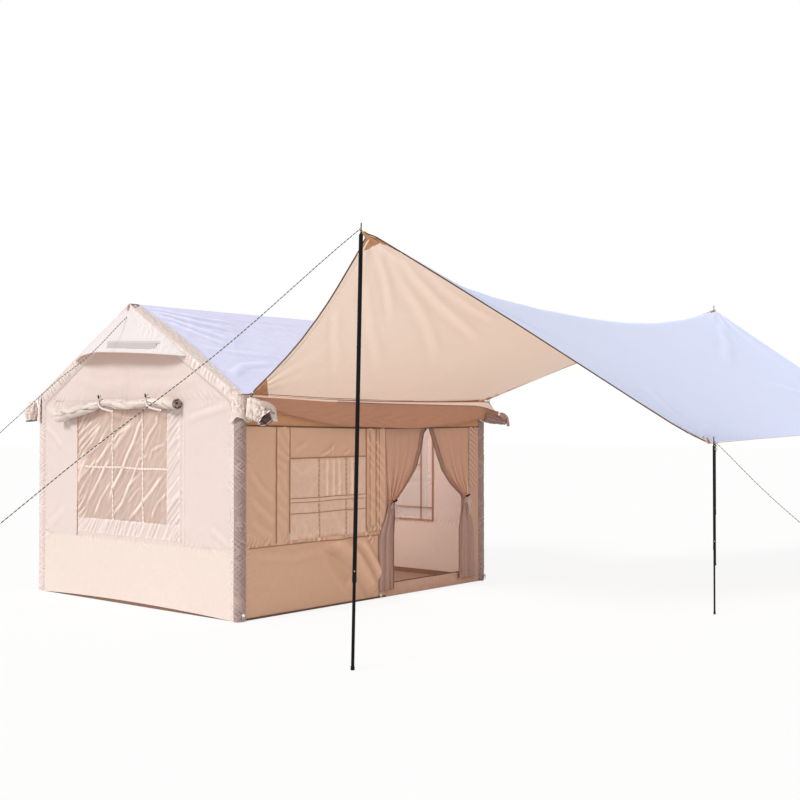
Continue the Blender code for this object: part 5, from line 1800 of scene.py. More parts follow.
        def valance_point(u, v):
            low = flap_point(u, 0.0)
            high = max(low.z + 0.002, size.eave - 0.003 - 0.007 * clamp(u * 4)
                       - 0.028 * 4 * u * (1 - u) - 0.9 * clamp(low.x - 1.64))
            return Vector((low.x, low.y - 0.0015, high + (low.z - high) * v))

        valance.grid(valance_point, spread(0.0, 120, 1.0), spread(0.0, 6, 1.0),
                     lambda u, v: 1 if v < 0.20 and u > 0.3 else 0, scale=(3.1, 0.06))
        sew("eave_valance", valance, [finish.canopy_under, finish.seam], (0, -1, 0), THIN,
            flat=(3.34, 0.05))
        trims = Cloth()
        path = [flap_point(step / 120, 0.0) - Vector((0, 0.004, 0)) for step in range(36, 121)]
        trims.ribbon(path, (0, -1, 0.2), 0.007, 0.003)
        sew("eave_flap_edge", trims, [finish.lining])
        hem = Cloth()
        path = [flap_point(step / 120, 1.0) + Vector((0, -0.001, 0)) for step in range(121)]
        hem.tube(path, 0.0028, 6, 0, (0, 0, 1))
        sew("eave_flap_hem", hem, [finish.flap])


# ---------------------------------------------------------------- gathered corner pieces

# Stations along each gathered piece: place, radius across, radius upwards
BOOTS = {
    "front_left": (
        ((-1.618, -1.462, 1.690), 0.046, 0.080), ((-1.600, -1.478, 1.688), 0.066, 0.088),
        ((-1.570, -1.496, 1.678), 0.080, 0.090), ((-1.544, -1.512, 1.660), 0.084, 0.084),
        ((-1.522, -1.530, 1.640), 0.082, 0.078), ((-1.512, -1.554, 1.620), 0.080, 0.076),
        ((-1.508, -1.580, 1.600), 0.080, 0.074),
    ),
    "front_right": (
        ((1.575, -1.450, 1.618), 0.036, 0.046), ((1.620, -1.466, 1.612), 0.050, 0.052),
        ((1.670, -1.490, 1.604), 0.054, 0.050), ((1.715, -1.516, 1.598), 0.054, 0.048),
        ((1.745, -1.540, 1.592), 0.050, 0.046), ((1.760, -1.552, 1.590), 0.046, 0.043),
    ),
    "back_left": (
        ((-1.670, 1.435, 1.770), 0.022, 0.030), ((-1.670, 1.450, 1.735), 0.046, 0.044),
        ((-1.672, 1.462, 1.690), 0.062, 0.060), ((-1.672, 1.468, 1.640), 0.068, 0.062),
        ((-1.672, 1.466, 1.600), 0.062, 0.056), ((-1.672, 1.464, 1.588), 0.054, 0.048),
    ),
}
# Loose end of cloth beside each front piece's mouth: its outer and inner edge as (X, Z) runs
TONGUES = {
    "front_left": (
        -1.592, ((-1.600, 1.748), (-1.540, 1.744), (-1.475, 1.724), (-1.412, 1.680), (-1.423, 1.619),
                 (-1.401, 1.584)),
        ((-1.590, 1.706), (-1.540, 1.690), (-1.500, 1.662), (-1.478, 1.630), (-1.470, 1.608),
         (-1.450, 1.580))),
    "front_right": (
        -1.570, ((1.633, 1.668), (1.701, 1.673), (1.795, 1.628), (1.795, 1.586), (1.813, 1.536)),
        ((1.625, 1.636), (1.667, 1.619), (1.716, 1.597), (1.742, 1.583), (1.763, 1.532))),
}
# Y of the front and back faces, just outside the columns, and sides of a gathered tube
FACE_Y, GATHER_SIDES = 1.4006, 56
# Width and length of the cloth of each one, laid flat
FLAT_GATHERS = {
    "front_left": (0.50, 0.36), "front_right": (0.40, 0.29), "back_left": (0.38, 0.28),
    "back_right": (0.38, 0.28),
}


class TENT_OT_gathers(Operator):
    """Cloth rolled and gathered at the four eave corners"""

    bl_idname = "tent.gathers"
    bl_label = "Corner Gathers"

    def execute(self, context):
        finish = Finishes()
        for name in ("front_left", "front_right", "back_left"):
            cloth, ties = self.gathered(BOOTS[name], name)
            self.finish_one(name, cloth, ties, finish)
            if name in TONGUES:
                self.tongue(name, finish)
            if name == "back_left":
                self.finish_one("back_right", cloth.mirrored(0), ties.mirrored(0), finish)
        return {"FINISHED"}

    def finish_one(self, name, cloth, ties, finish):
        # The front-right piece lies in the canopy's shade and wears the darker lining colour as painted
        # shade.
        main = finish.lining if name == "front_right" else finish.bundle
        sew("gathered_cloth_" + name, cloth, [main, finish.lining], None, 0.002,
            ["corner_bundle_" + name], flat=FLAT_GATHERS[name])
        sew("gathered_tie_" + name, ties, [finish.bundle, finish.black])

    def tongue(self, name, finish):
        """The loose end of cloth beside a mouth."""
        y, outer, inner = TONGUES[name]
        runs = []
        for run in (outer, inner):
            smooth = softened([(x, y, z) for x, z in run], 2)
            runs.append(resample(smooth, sum((b - a).length for a, b in zip(smooth, smooth[1:])) / 30))

        def tongue_point(u, v):
            index = int(round(u * 30))
            spot = runs[0][index].lerp(runs[1][index], v)
            spot.y -= 0.012 * sin(pi * v) + 0.006 * crumple(spot.x, spot.z, 0.05, 3.0)
            return spot

        cloth = Cloth()
        cloth.grid(tongue_point, spread(0.0, 30, 1.0), spread(0.0, 12, 1.0), scale=(0.25, 0.05))
        # The front-right end wears the darker lower-curtain colour as painted shade under the canopy.
        main = finish.fallen if name == "front_right" else finish.bundle
        sew("gathered_end_" + name, cloth, [main], (0, -1, 0), 0.0020,
            flat=(0.25, 0.06))

    def gathered(self, stations, name):
        """A gathered tube of cloth that is open and hollow at its far end, its inside painted dark as
        shade.
        """
        path = resample(softened([place for place, _, _ in stations], 2), 0.006)
        steps = len(path) - 1
        seed = len(name) * 1.7
        downwards = name == "back_left"

        def outside(y):
            """Keep a point outside the tent's front or back face."""
            return max(y, FACE_Y) if downwards else min(y, -FACE_Y)

        def radii(share):
            at = clamp(share) * (len(stations) - 1)
            low = min(int(at), len(stations) - 2)
            mix = at - low
            return [stations[low][k] * (1 - mix) + stations[low + 1][k] * mix for k in (1, 2)]

        def cloth_point(angle, share):
            inside = max(0.0, share - 1.0)
            spot = min(share, 2 - share)
            index = clamp(spot) * steps
            low = min(int(index), steps - 1)
            middle = path[low].lerp(path[low + 1], index - low)
            across, high = radii(spot)
            ahead = (path[min(low + 1, steps)] - path[max(low - 1, 0)]).normalized()
            up = Vector((0, -1, 0)) if downwards else Vector((0, 0, 1))
            up = (up - ahead * up.dot(ahead)).normalized()
            side = ahead.cross(up)
            fold = 0.16 * crumple(angle * 0.06 + share * 0.05, share * 0.16, 0.05, seed)
            fold += 0.05 * sin(7 * angle + 3 * share + seed)
            if inside:
                fold += 0.10 + 0.25 * inside
            point = middle + side * cos(angle) * across * (1 - fold)
            point += up * sin(angle) * high * (1 - fold)
            point.y = outside(point.y)
            return point, clamp(1 - fold * 5)

        cloth = Cloth()
        shares = spread(0.0, 46, 1.0, 16, 1.5)
        # Faces inside the open end take the dark second finish as painted shade.
        cloth.grid(cloth_point, turns(GATHER_SIDES)[:-1], shares, lambda a, s: 1 if s > 1.03 else 0,
                   closed=True, scale=(0.08, 0.25))
        middle = cloth.add_point(sum(cloth.points[:GATHER_SIDES], Vector()) / GATHER_SIDES)
        for k in range(GATHER_SIDES):
            cloth.add_face(((k + 1) % GATHER_SIDES, k, middle), CAP_UVS, 0)
        ties = Cloth()
        for share in (0.12, 0.62) if name != "front_right" else ():
            loop = [cloth_point(a, share)[0] for a in turns(40)]
            middle = sum(loop, Vector()) / 41
            loop = [spot + (spot - middle).normalized() * 0.002 for spot in loop]
            for spot in loop:
                spot.y = outside(spot.y)
            ties.ribbon(loop, [spot - middle for spot in loop], 0.009, 0.0020)
        # A thin black tube round the open end: painted shadow at the mouth.
        rim = [cloth_point(a, 1.0)[0] for a in turns(40)]
        ties.tube(rim, 0.0028, 6, 1, (0, 0, 1))
        return cloth, ties


# ---------------------------------------------------------------- canopy

# How an edge sags or bows along its length, as shares of its deepest place
RIDGE_SAGS = ((0.0, 0.0), (0.05, 0.26), (0.1, 0.48), (0.17, 0.72), (0.25, 0.85), (0.37, 0.96),
              (0.5, 1.0), (0.63, 0.95), (0.75, 0.79), (0.87, 0.50), (0.94, 0.25), (1.0, 0.0))
NEAR_BACK = ((0.0, 0.0), (0.04, 0.02), (0.15, 0.42), (0.26, 0.74), (0.37, 0.94), (0.5, 1.0),
             (0.6, 0.98), (0.7, 0.88), (0.8, 0.74), (0.9, 0.60), (0.97, 0.45), (1.0, 0.0))
NEAR_FRONT = ((0.0, 0.0), (0.08, -0.6), (0.14, -0.7), (0.25, -0.5), (0.44, 0.0), (0.62, 0.45),
              (0.8, 0.6), (0.9, 0.65), (0.97, 0.6), (1.0, 0.0))
EVEN = ((0.0, 0.0), (0.1, 0.36), (0.25, 0.75), (0.5, 1.0), (0.75, 0.75), (0.9, 0.36), (1.0, 0.0))
# Foot, direction, height and shown length of the foot section of each pole
POLES = {
    "near_tall": ((-2.35, -3.27, 0.0), (0.01214072, -0.0142832, 0.99982428), 2.80, 0.56),
    "far_tall": ((4.26, -2.60, 0.0), (0.0, 0.0, 1.0), 2.80, 0.56),
    "near_low": ((1.173, -4.063, 0.0), (0.0, 0.0, 1.0), 1.40, 0.53),
    "far_low": ((4.48, -4.48, 0.0), (0.0, 0.0, 1.0), 1.50, 0.63),
}
# The two corners of the cloth on either side of each pole
NEIGHBOURS = {
    "near_tall": ("back_left", "near_low"), "near_low": ("near_tall", "far_low"),
    "far_low": ("near_low", "far_tall"), "far_tall": ("far_low", "back_right"),
}


# From a pole's pin to the cloth's corner; a webbing tongue bridges it
CORNER_INSET = 0.045
# Metres that u and v stand for in the folds, and corners with strain: u, v, how far it spreads
CANOPY_SPAN = (6.4, 4.4)
STRAIN_SPOTS = ((0, 0, 0.5), (1, 0, 0.4), (0, 0.5, 0.4), (1, 0.5, 0.4), (0, 1, 0.5), (1, 1, 0.4))
# Strain folds of the canopy's back half: (metres along, metres down from the front) runs
CANOPY_FOLDS = (
    (((0.72, 2.14), (0.96, 2.06), (1.28, 1.98), (1.60, 1.90), (2.10, 1.80)), 0.081, 0.014),
    (((0.30, 2.14), (0.44, 2.10), (0.64, 2.00), (0.88, 1.93), (1.20, 1.81), (1.72, 1.65),
      (2.40, 1.42)), 0.093, 0.021),
    (((0.10, 2.12), (0.16, 2.09), (0.24, 1.98), (0.40, 1.84), (0.60, 1.65), (0.85, 1.40)), 0.074, 0.017),
    (((0.16, 2.12), (0.32, 2.06), (0.60, 1.87), (1.00, 1.68), (1.64, 1.32), (2.3, 0.95)), 0.099, 0.017),
    (((0.20, 1.72), (0.36, 1.54), (0.72, 1.21), (1.60, 0.66)), 0.099, 0.013),
    (((0.10, 1.30), (0.40, 0.95), (1.00, 0.50)), 0.087, 0.010),
    (((6.20, 2.10), (5.60, 1.80), (4.80, 1.50)), 0.099, 0.012),
    (((6.25, 2.05), (5.90, 1.60), (5.40, 1.10)), 0.093, 0.010),
    (((0.15, 2.30), (0.60, 2.60), (1.20, 2.90)), 0.099, 0.012),
    (((0.20, 4.25), (0.60, 3.90), (1.20, 3.50)), 0.099, 0.012),
    (((6.20, 2.35), (5.60, 2.70), (4.80, 3.00)), 0.099, 0.011),
    (((6.20, 4.25), (5.70, 3.80), (5.00, 3.40)), 0.099, 0.011),
)


# Corner patches: name, corner (u, v), the way in along each, and reach along each
CORNER_PATCHES = (
    ("back_left", 0, 0, 1, 1, 0.060, 0.060), ("back_right", 1, 0, -1, 1, 0.045, 0.050),
    ("near_ridge_back", 0, 0.5, 1, -1, 0.028, 0.056),
    ("near_ridge_front", 0, 0.5, 1, 1, 0.028, 0.045),
    ("far_ridge_back", 1, 0.5, -1, -1, 0.028, 0.045),
    ("far_ridge_front", 1, 0.5, -1, 1, 0.028, 0.045),
    ("near_front", 0, 1, 1, -1, 0.026, 0.040), ("far_front", 1, 1, -1, -1, 0.026, 0.040),
)
# Short cords at the low poles and at the eave's rings, as steps from where they hang
POLE_CORD = ((0.006, -0.006, 0), (0.02, -0.02, -0.03), (0.012, -0.018, -0.075),
             (-0.006, -0.012, -0.06), (-0.010, -0.010, -0.02))
EAVE_CORD = ((0, 0, -0.010), (-0.010, -0.006, -0.04), (0.004, -0.008, -0.085),
             (0.016, -0.006, -0.05), (0.004, -0.002, -0.012))
EAVE_TOGGLE = [(0.004, -0.014), (0.0065, -0.012), (0.0065, 0.010), (0.0045, 0.014)]


def pole_top(name):
    foot, axis, height, _ = POLES[name]
    return Vector(foot) + Vector(axis) * height


def bowed(start, end, share, bow, stops, towards):
    """A point on an edge that is drawn in towards the cloth's middle."""
    line = (end - start).normalized()
    inward = towards - (start + end) / 2
    inward = (inward - line * inward.dot(line)).normalized()
    return start.lerp(end, share) + inward * bow * ramp(share, stops)


class CanopyShape:
    """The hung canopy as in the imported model; u runs near to far, v from eave to front."""

    def __init__(self):
        self.size = bpy.context.scene.canopy_sizes
        plan = Plan()
        back = -(plan.half_width + plan.size.gap + self.size.cloth / 2)
        held = {name: pole_top(name) for name in POLES}
        held["back_left"] = Vector((0.145 - plan.half_length, back, plan.size.eave))
        held["back_right"] = Vector((plan.half_length + 0.020, back, plan.size.eave))
        self.corners = dict(held)
        for name in POLES:
            sides = []
            for other in NEIGHBOURS[name]:
                side = held[other] - held[name]
                side.z = 0.0
                sides.append(side.normalized())
            inward = (sides[0] + sides[1]).normalized()
            self.corners[name] = held[name] + Vector((0, 0, 0.0043)) + inward * CORNER_INSET

    def point(self, u, v):
        size, corners = self.size, self.corners
        near, far = corners["near_tall"], corners["far_tall"]
        ridge = near.lerp(far, u)
        ridge.z -= size.ridge_sag * ramp(u, RIDGE_SAGS)
        if v <= 0.5:
            share = v * 2
            start, end = corners["back_left"], corners["back_right"]
            outer = start.lerp(end, u)
            outer.z -= size.edge_sag * ramp(u, EVEN)
            near_bow, near_stops, far_bow = size.near_back, NEAR_BACK, size.far_back
        else:
            share = (1 - v) * 2
            start, end = corners["near_low"], corners["far_low"]
            outer = bowed(start, end, u, size.front_edge, EVEN, (near + far) / 2)
            near_bow, near_stops, far_bow = size.near_front, NEAR_FRONT, size.far_front
        middle = (start + end + near + far) / 4
        left = bowed(start, near, share, near_bow, near_stops, middle)
        right = bowed(end, far, share, far_bow, EVEN, middle)
        flat = start.lerp(end, u).lerp(near.lerp(far, u), share)
        point = left.lerp(right, u) + outer.lerp(ridge, share) - flat
        point.z -= size.panel_sag * sin(pi * u) * sin(pi * share)
        return point

    def rounded(self, u, v):
        """The same point with the run of short straights along u and v smoothed."""
        inner = min(1.0, u / 0.05, (1 - u) / 0.05, v / 0.05, (1 - v) / 0.05)
        if inner <= 0:
            return self.point(u, v)
        step = 0.012 * inner
        step_v = step * clamp(abs(v - 0.5) / 0.03)
        total = Vector()
        for du, dv in ((-step, 0), (step, 0), (0, -step_v), (0, step_v), (0, 0)):
            total += self.point(clamp(u + du), clamp(v + dv))
        return total / 5

    def wrinkled(self, u, v):
        """The hung cloth with strain folds that run out of its corners."""
        wide, deep = CANOPY_SPAN
        height = 0.0
        for cu, cv, fade in STRAIN_SPOTS:
            du, dv = (u - cu) * wide, (v - cv) * deep
            away = hypot(du, dv)
            if away < 2.2:
                wave = sin(atan2(dv, du) * 13 + cu * 2 + cv)
                height += 0.010 * clamp(away / 0.25) * exp(-away / fade) * wave
        height += 1.1 * folds_at(u * wide, v * deep, CANOPY_FOLDS)
        height += 0.006 * ripple(u * wide, v * deep, 0.9, 2.0)
        height += 0.003 * crumple(u * wide, v * deep, 0.7, 3.0)
        edge = clamp(min(u, 1 - u) / 0.01) * clamp(min(v, 1 - v) / 0.01)
        return self.rounded(u, v) + Vector((0, 0, height * edge))


class TENT_OT_canopy(Operator):
    """Canopy with its hems, corner patches, webbing and lines"""

    bl_idname = "tent.canopy"
    bl_label = "Canopy"

    def execute(self, context):
        finish, shape = Finishes(), CanopyShape()
        size = shape.size
        cloth = Cloth()
        us = [0.5 - 0.5 * cos(pi * (0.06 + 0.88 * step / 200)) for step in range(201)]
        low, high = us[0], us[-1]
        us = [(u - low) / (high - low) for u in us]
        vs = spread(0.0, 78, 0.5, 82, 1.0)
        cloth.grid(shape.wrinkled, us, vs, scale=(6.2, 4.2))
        sew("canopy_cloth", cloth, [finish.canopy_top, finish.canopy_under], (0, 0, 1),
            size.cloth, ["canopy"], inner=1, angle=80, flat=(6.6, 4.4),
            crease_shading=2.2)
        hems, lines = Cloth(), Cloth()

        def edge_strip(target, stops, offset, lift, wide):
            """A strip along an edge; offset and width are shares of the hem's width."""
            path, normals = [], []
            for u, v in stops:
                spot = shape.wrinkled(u, v)
                inside = shape.point(clamp(u, 0.02, 0.98), clamp(v, 0.02, 0.98))
                inward = (inside - spot).normalized()
                path.append(spot + inward * size.hem * offset + Vector((0, 0, lift)))
                normals.append(Vector((0, 0, 1)) - inward * inward.z)
            target.ribbon(path, normals, size.hem * wide, 0.0016)

        for u in (0.0, 1.0):
            back = [(u, step / 240) for step in range(2, 120)]
            front = [(u, step / 240) for step in range(121, 239)]
            edge_strip(lines, back, 0.55, -0.0028, 1.1)
            edge_strip(lines, front, 0.9, -0.0028, 0.5)
            edge_strip(hems, back, 1.15, -0.0042, 0.20)
            edge_strip(hems, front, 1.6, -0.0030, 0.22)
            for row in (back, front):
                hems.tube([shape.wrinkled(a, b) for a, b in row], 0.0055, 6,
                          2 if u and row is front else 0, (0, 0, 1))
        for v in (0.0, 1.0):
            row = [(step / 140, v) for step in range(2, 139)]
            edge_strip(lines, row, 0.55, -0.0028, 1.1)
            edge_strip(hems, row, 0.20 if v else 0.95, -0.0042, 0.36)
            hems.tube([shape.wrinkled(a, b) for a, b in row], 0.0050, 6, 2 if v else 1, (0, 0, 1))
        sew("canopy_hem", hems, [finish.hem, finish.patch, finish.canopy_top])
        sew("canopy_hem_line", lines, [finish.canopy_under])
        self.patches(shape, finish)
        self.fastenings(shape, finish)
        return {"FINISHED"}

    def patches(self, shape, finish):
        """Reinforcing patches on the underside of the six corners."""
        pipe = Cloth()
        for name, cu, cv, su, sv, reach_u, reach_v in CORNER_PATCHES:
            cloth = Cloth()
            for side in (-1, 1):
                def patch_point(a, b):
                    u = cu + su * reach_u * a * (1 - b)
                    v = cv + sv * reach_v * b
                    spot = shape.wrinkled(clamp(u), clamp(v))
                    drop = 0.0060 if side < 0 else 0.0046
                    return spot - Vector((0, 0, drop))
                cloth.grid(patch_point, spread(0.0, 14, 1.0), spread(0.0, 14, 0.97))
            sew("canopy_patch_" + name, cloth, [finish.patch], (0, 0, -1), 0.0)
            rim = [shape.wrinkled(clamp(cu + su * reach_u * (1 - b)), clamp(cv + sv * reach_v * b))
                   - Vector((0, 0, 0.006)) for b in spread(0.0, 20, 1.0)]
            pipe.tube(rim, 0.0035, 6, 0)
        sew("canopy_patch_pipings", pipe, [finish.canopy_under])

    def fastenings(self, shape, finish):
        """Webbing tongues to the poles, and rings, cord loops and toggles at the eave."""
        webbing, loops = Cloth(), Cloth()
        for name in POLES:
            corner = shape.corners[name]
            u = 0.0 if name.startswith("near") else 1.0
            v = 0.5 if name.endswith("tall") else 1.0
            inner = shape.wrinkled(0.022 if u == 0 else 0.978, v if v == 0.5 else 0.985)
            for heights in ((0.006, 0.005, 0.005), (-0.004, -0.006, -0.008)):
                path = [corner.lerp(inner, share) + Vector((0, 0, height))
                        for share, height in zip((0.0, 0.5, 1.0), heights)]
                webbing.ribbon(resample(path, 0.02), (0, 0, 1), 0.026, 0.003)
            ring_at = pole_top(name) + Vector((0, 0, 0.008))
            loop = [ring_at + Vector((0.0075 * cos(a), 0.0075 * sin(a), 0.002 * sin(2 * a)))
                    for a in turns(20)]
            loops.tube(loop, 0.0024, 6, 0, (0, 0, 1))
            if name.endswith("low"):
                loops.tube(self.hang(ring_at, POLE_CORD), 0.0020, 6, 0, (0, 1, 0))
        sew("canopy_webbing", webbing, [finish.patch])
        for name, corner, side in (("left", shape.corners["back_left"], -1),
                                   ("right", shape.corners["back_right"], 1)):
            spot = corner + Vector((side * 0.012, -0.008, -0.004))
            ring("eave_ring_" + name, spot, (0.3, 1, 0.2), 0.012, 0.0026, finish.black)
            loops.tube(self.hang(spot, EAVE_CORD), 0.0022, 6, 0, (0, 1, 0))
            for key, step, lean in (("", (-0.004, -0.010, -0.040), (0.1, 0.0, 1.0)),
                                    ("low_", (0.004, -0.014, -0.085), (0.8, 0.0, 0.6))):
                turned("eave_toggle_" + key + name, EAVE_TOGGLE, spot + Vector(step), lean,
                       finish.black, 14)
        sew("canopy_loops", loops, [finish.rope])

    def hang(self, start, steps):
        """A short cord that hangs from a place."""
        return softened([start + Vector(step) for step in steps], 3)


# ---------------------------------------------------------------- poles


# Turned fittings as (radius, height) runs: collar, section joint, spring button and foot cap
POLE_COLLAR = ((0.0143, 0.0), (0.0147, 0.002), (0.0149, 0.006), (0.0149, 0.034),
               (0.0146, 0.040), (0.0142, 0.042))
POLE_JOINT = ((0.0142, 0.0), (0.0150, 0.0008), (0.0150, 0.0065), (0.0142, 0.0075))
POLE_BUTTON = ((0.004, 0.0), (0.004, 0.003), (0.0028, 0.0042))
FOOT_CAP = ((0.0118, 0.0), (0.0135, 0.002), (0.0135, 0.022), (0.0118, 0.026))
# How much thinner a low pole's upper section and foot are than a tall pole's
LOW_POLE_SHARES = (0.0095 / 0.0140, 0.0075 / 0.0110)


class TENT_OT_poles(Operator):
    """Collars, section rings, spring buttons and foot caps on the four poles"""

    bl_idname = "tent.poles"
    bl_label = "Poles"

    def execute(self, context):
        finish = Finishes()
        side = Vector((-0.7, -0.7, 0.0))
        for name, (foot, axis, _, shown) in POLES.items():
            foot, axis = Vector(foot), Vector(axis)
            tall = name.endswith("tall")
            share, foot_share = (1.0, 1.0) if tall else LOW_POLE_SHARES

            def fit(label, profile, up, share, body="tent"):
                scaled = [(radius * share, step) for radius, step in profile]
                turned(label, scaled, foot + axis * up, axis, finish.black, 20, body)

            fit("pole_clamp_" + name, POLE_COLLAR, shown - 0.004, share)
            turned("pole_button_" + name, POLE_BUTTON, foot + axis * (shown + 0.070)
                   + side * 0.0137 * share, side, finish.steel, 12)
            for number, up in enumerate((0.75, 1.50) if tall else (0.58,)):
                fit("pole_joint_%s_%d" % (name, number), POLE_JOINT, shown + up, share)
            fit("pole_foot_cap_" + name, FOOT_CAP, 0.0, foot_share, name + "_foot")
            dress(finish.pole, name + "_pole_upper", name + "_pole_foot")
        return {"FINISHED"}


# ---------------------------------------------------------------- back wall and ground

# The back window's hole (left, right, bottom, top)
BACK_HOLE = (-0.65, 0.65, 0.72, 1.42)
# Folds of the back wall: runs of (X, Z), width, height
BACK_FOLDS = (
    (((1.50, 1.66), (1.15, 1.50), (0.90, 1.42)), 0.06, 0.010),
    (((1.50, 1.45), (1.20, 1.20), (1.05, 1.00)), 0.06, 0.009),
    (((-1.50, 1.64), (-1.20, 1.52), (-0.90, 1.46)), 0.06, 0.010),
    (((-1.50, 1.30), (-1.20, 1.12), (-0.95, 0.86)), 0.06, 0.009),
    (((1.48, 0.08), (1.10, 0.28), (0.80, 0.48)), 0.07, 0.010),
    (((-1.48, 0.08), (-1.15, 0.24), (-0.70, 0.36)), 0.07, 0.010),
    (((0.62, 0.70), (0.40, 0.50), (0.10, 0.40)), 0.06, 0.008),
    (((-0.64, 0.68), (-0.50, 0.40), (-0.42, 0.14)), 0.07, 0.010),
    (((0.66, 1.44), (0.90, 1.56), (1.20, 1.64)), 0.05, 0.007),
    (((-0.30, 1.66), (-0.10, 1.56), (0.25, 1.52)), 0.05, 0.006),
)


class TENT_OT_back_wall(Operator):
    """Back wall with its window net, tapes and rolled cover"""

    bl_idname = "tent.back_wall"
    bl_label = "Back Wall"

    def execute(self, context):
        plan, finish = Plan(), Finishes()
        size = plan.size
        edge, top = plan.column_x - plan.reach, plan.corner_z - plan.reach
        left, right, bottom, high = BACK_HOLE

        def lift_at(x, z):
            lift = 0.006 * ripple(x, z, 0.4, 21.0) + 0.005 * crumple(x, z, 0.3, 22.0)
            lift += 0.008 * pucker(x, z - 0.56, 0.055, 0.03, 8.0) + folds_at(x, z, BACK_FOLDS)
            lift += 0.006 * pucker(z, abs(x) - 1.50, 0.06, 0.03, 9.0)
            lift += 0.006 * pucker(x, z - 1.62, 0.06, 0.03, 10.0)
            return lift * rim_fade(x, z, (-edge, edge, plan.bottom, top), 0.02)

        def wall_point(x, z):
            return Vector((x, plan.wall_y + lift_at(x, z), z))

        wall = Cloth()
        wall.grid(wall_point, spread(-edge, 44, left, 60, right, 44, edge),
                  spread(plan.bottom, 36, bottom, 34, high, 14, top), 0,
                  lambda x, z: left < x < right and bottom < z < high)
        sew("back_wall_cloth", wall, [finish.wall], (0, 1, 0), size.cloth, ["back_wall"],
            flat=(2 * edge, top), crease_shading=2.0)
        net = Cloth()

        def net_point(x, z):
            rim = rim_fade(x, z, BACK_HOLE, 0.03)
            lift = 0.006 * ripple(x, z, 0.3, 14.0) + 0.006 * crumple(x, z, 0.2, 15.0)
            return Vector((x, plan.wall_y - 0.001 + lift * rim, z)), clamp(lift / 0.02)

        net.grid(net_point, spread(left + 0.001, 100, right - 0.001),
                 spread(bottom + 0.001, 56, high - 0.001))
        sew("back_net", net, [finish.front_net], (0, 1, 0), size.soft, ["back_window"],
            flat=(1.30, 0.70))
        tapes = Cloth()
        for run in ([(-0.22, z) for z in spread(bottom, 40, high)],
                    [(0.22, z) for z in spread(bottom, 40, high)],
                    [(x, 1.08) for x in spread(left, 60, right)]):
            tapes.tape(net_point, run, (0, 1, 0), 0.003, 0.016)
        sew("back_tapes", tapes, [finish.strip])
        seams = Cloth()
        runs = ([(x, 0.56) for x in spread(-edge + 0.02, 120, edge - 0.02)],
                [(left - 0.005, z) for z in spread(bottom - 0.02, 50, high)],
                [(right + 0.005, z) for z in spread(bottom - 0.02, 50, high)],
                [(x, bottom - 0.005) for x in spread(left, 70, right)])
        for run in runs:
            seams.tape(wall_point, run, (0, 1, 0), 0.002, 0.007, STRIP)
        sew("back_seams", seams, [finish.seam])
        self.roll(plan, finish)
        return {"FINISHED"}

    def roll(self, plan, finish):
        """The back window's rolled cover."""
        size = plan.size
        y = plan.wall_y + size.gap + size.roll

        def centre(share):
            z = 1.55 - size.roll * 2 * (1 - smooth_ramp(share, ROLL_HEIGHTS))
            return Vector((1.60 * (share - 0.5), y, z))

        def roll_point(turn, share):
            thick, angle, fold = rolled_cloth(plan, turn, share, 1.6, 4.0)
            away = thick * (1 - ROLL_THINNING * turn - fold + 0.03 * sin(3 * angle + share * 26))
            return centre(share) + Vector((0, cos(angle) * away, sin(angle) * away)), 1 - fold * 6

        cloth = Cloth()
        cloth.grid(roll_point, spread(0.0, 100, ROLL_TURNS), spread(0.0, 110, 1.0), scale=(0.25, 1.6))
        # The roll's inner faces take the darker second finish, painted shade in its hollows.
        sew("back_rolled_cover", cloth, [finish.bundle, finish.lining], (0, 0, 1), ROLLED,
            ["back_roll"], inner=1, flat=(1.60, 1.0),
            crease_shading=3.0)
        ties = Cloth()
        for share in (0.425, 0.795):
            middle = centre(share)
            radius = size.roll * smooth_ramp(share, ROLL_THICKS) + 0.003
            loop = [middle + Vector((0.008 * sin(a), cos(a) * radius, sin(a) * radius))
                    for a in turns(30)]
            ties.ribbon(loop, [spot - middle for spot in loop], 0.018, 0.002)
        sew("back_roll_ties", ties, [finish.bundle])


# Profile of a fitting's ball, and where the fittings sit along the groundsheet
BALL = ((0.004, -0.013), (0.010, -0.009), (0.0135, 0.0), (0.010, 0.009), (0.004, 0.013))
FITTINGS = ((-1.600, -1.416, 0.055), (0.050, -1.405, 0.030), (1.600, -1.416, 0.055),
            (-1.600, 1.416, 0.055), (1.600, 1.416, 0.055))
# Height of the groundsheet's upturned edge, and how far it stands in from the sheet's edge
RIM_HEIGHT, RIM_IN = 0.050, 0.010


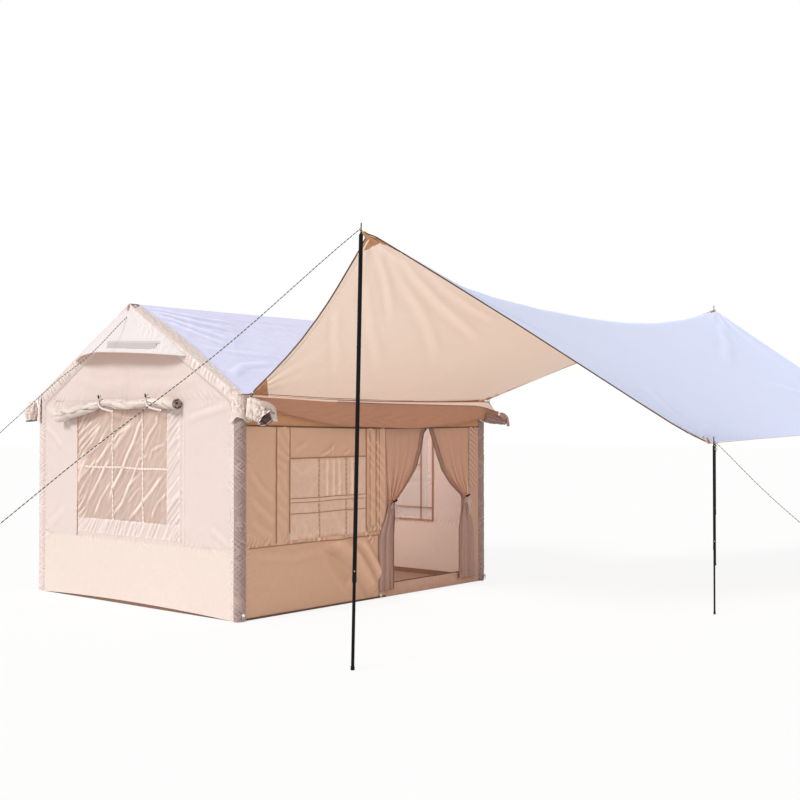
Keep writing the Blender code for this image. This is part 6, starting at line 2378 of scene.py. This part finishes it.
class TENT_OT_ground(Operator):
    """Groundsheet with its upturned edge, corner fittings and zip sliders"""

    bl_idname = "tent.ground"
    bl_label = "Ground and Fittings"

    def execute(self, context):
        plan, finish = Plan(), Finishes()
        size = plan.size
        clear = size.tube + size.gap
        edge_x, edge_y = plan.wall_x - 0.006, plan.wall_y - 0.006

        def floor_point(x, y):
            spot = Vector((x, y, size.cloth))
            inward = min(edge_x - abs(x), edge_y - abs(y))
            height = 0.0018 * crumple(x, y, 0.25, 31.0) + 0.001 * ripple(x, y, 0.6, 3.0)
            spot.z += max(0.0, height) * clamp(inward / 0.05)
            return spot

        cloth = Cloth()

        def hole(x, y):
            return hypot(abs(x) - plan.column_x, abs(y) - plan.column_y) < clear + 0.006 or (
                abs(x) > plan.column_x and abs(y) > plan.column_y)

        cloth.grid(floor_point, spread(-edge_x, 150, edge_x), spread(-edge_y, 128, edge_y), 0, hole)
        sew("groundsheet_cloth", cloth, [finish.floor], (0, 0, 1), 0.0025,
            ["groundsheet"], flat=(2 * edge_x, 2 * edge_y))
        rim = Cloth()
        reach_y, reach_x = plan.column_y - clear - 0.004, plan.column_x - clear - 0.004
        for side in (-1, 1):
            rim.grid(lambda a, z: Vector((side * (edge_x - RIM_IN), a, z)),
                     spread(-reach_y, 60, reach_y), spread(size.cloth, 6, RIM_HEIGHT))
            rim.grid(lambda a, z: Vector((a, side * (edge_y - RIM_IN), z)),
                     spread(-reach_x, 60, reach_x), spread(size.cloth, 6, RIM_HEIGHT))
        sew("groundsheet_rim", rim, [finish.floor], (-1, -1, 0.01), THIN)
        for number, spot in enumerate(FITTINGS):
            spot = Vector(spot)
            side = -1 if spot.y < 0 else 1
            turned("ground_ball_%d" % number, BALL, spot, (0.0, side, 0.3), finish.plastic, 18)
            ring("ground_ring_%d" % number, spot + Vector((0.0, side * 0.001, -0.026)),
                 (0.25, 1, 0.1), 0.011, 0.0022, finish.steel)
        dress(finish.steel, "zip_slider_left", "zip_slider_right")
        return {"FINISHED"}


# ---------------------------------------------------------------- panel and registration

STEPS = (TENT_OT_stage, TENT_OT_guy_ropes, TENT_OT_air_frame, TENT_OT_roof, TENT_OT_gables,
         TENT_OT_front_wall, TENT_OT_curtains, TENT_OT_gathers, TENT_OT_canopy, TENT_OT_poles,
         TENT_OT_back_wall, TENT_OT_ground)


class TENT_PT_panel(Panel):
    """Lists the tent's pieces in the sidebar"""

    bl_label = "Inflatable Tent"
    bl_idname = "TENT_PT_panel"
    bl_space_type = "VIEW_3D"
    bl_region_type = "UI"
    bl_category = "Tent"

    def draw(self, context):
        for step in STEPS:
            self.layout.operator(step.bl_idname)
        for group in ("tent_sizes", "canopy_sizes", "tent_colours", "tent_light"):
            box = self.layout.box()
            settings = getattr(context.scene, group)
            for key in settings.__annotations__:
                box.prop(settings, key)


GROUPS = {"tent_sizes": TentSizes, "canopy_sizes": CanopySizes, "tent_colours": TentColours,
          "tent_light": StageLight}


def register():
    for group in (*GROUPS.values(), *STEPS, TENT_PT_panel):
        bpy.utils.register_class(group)
    for name, group in GROUPS.items():
        setattr(bpy.types.Scene, name, PointerProperty(type=group))


def unregister():
    for name in GROUPS:
        delattr(bpy.types.Scene, name)
    for group in reversed((*GROUPS.values(), *STEPS, TENT_PT_panel)):
        bpy.utils.unregister_class(group)


def main():
    register()
    bpy.ops.tent.stage()
    bpy.ops.tent.guy_ropes()
    bpy.ops.tent.air_frame()
    bpy.ops.tent.roof()
    bpy.ops.tent.gables()
    bpy.ops.tent.front_wall()
    bpy.ops.tent.curtains()
    bpy.ops.tent.gathers()
    bpy.ops.tent.canopy()
    bpy.ops.tent.poles()
    bpy.ops.tent.back_wall()
    bpy.ops.tent.ground()
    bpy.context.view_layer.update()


if __name__ == "__main__":
    main()
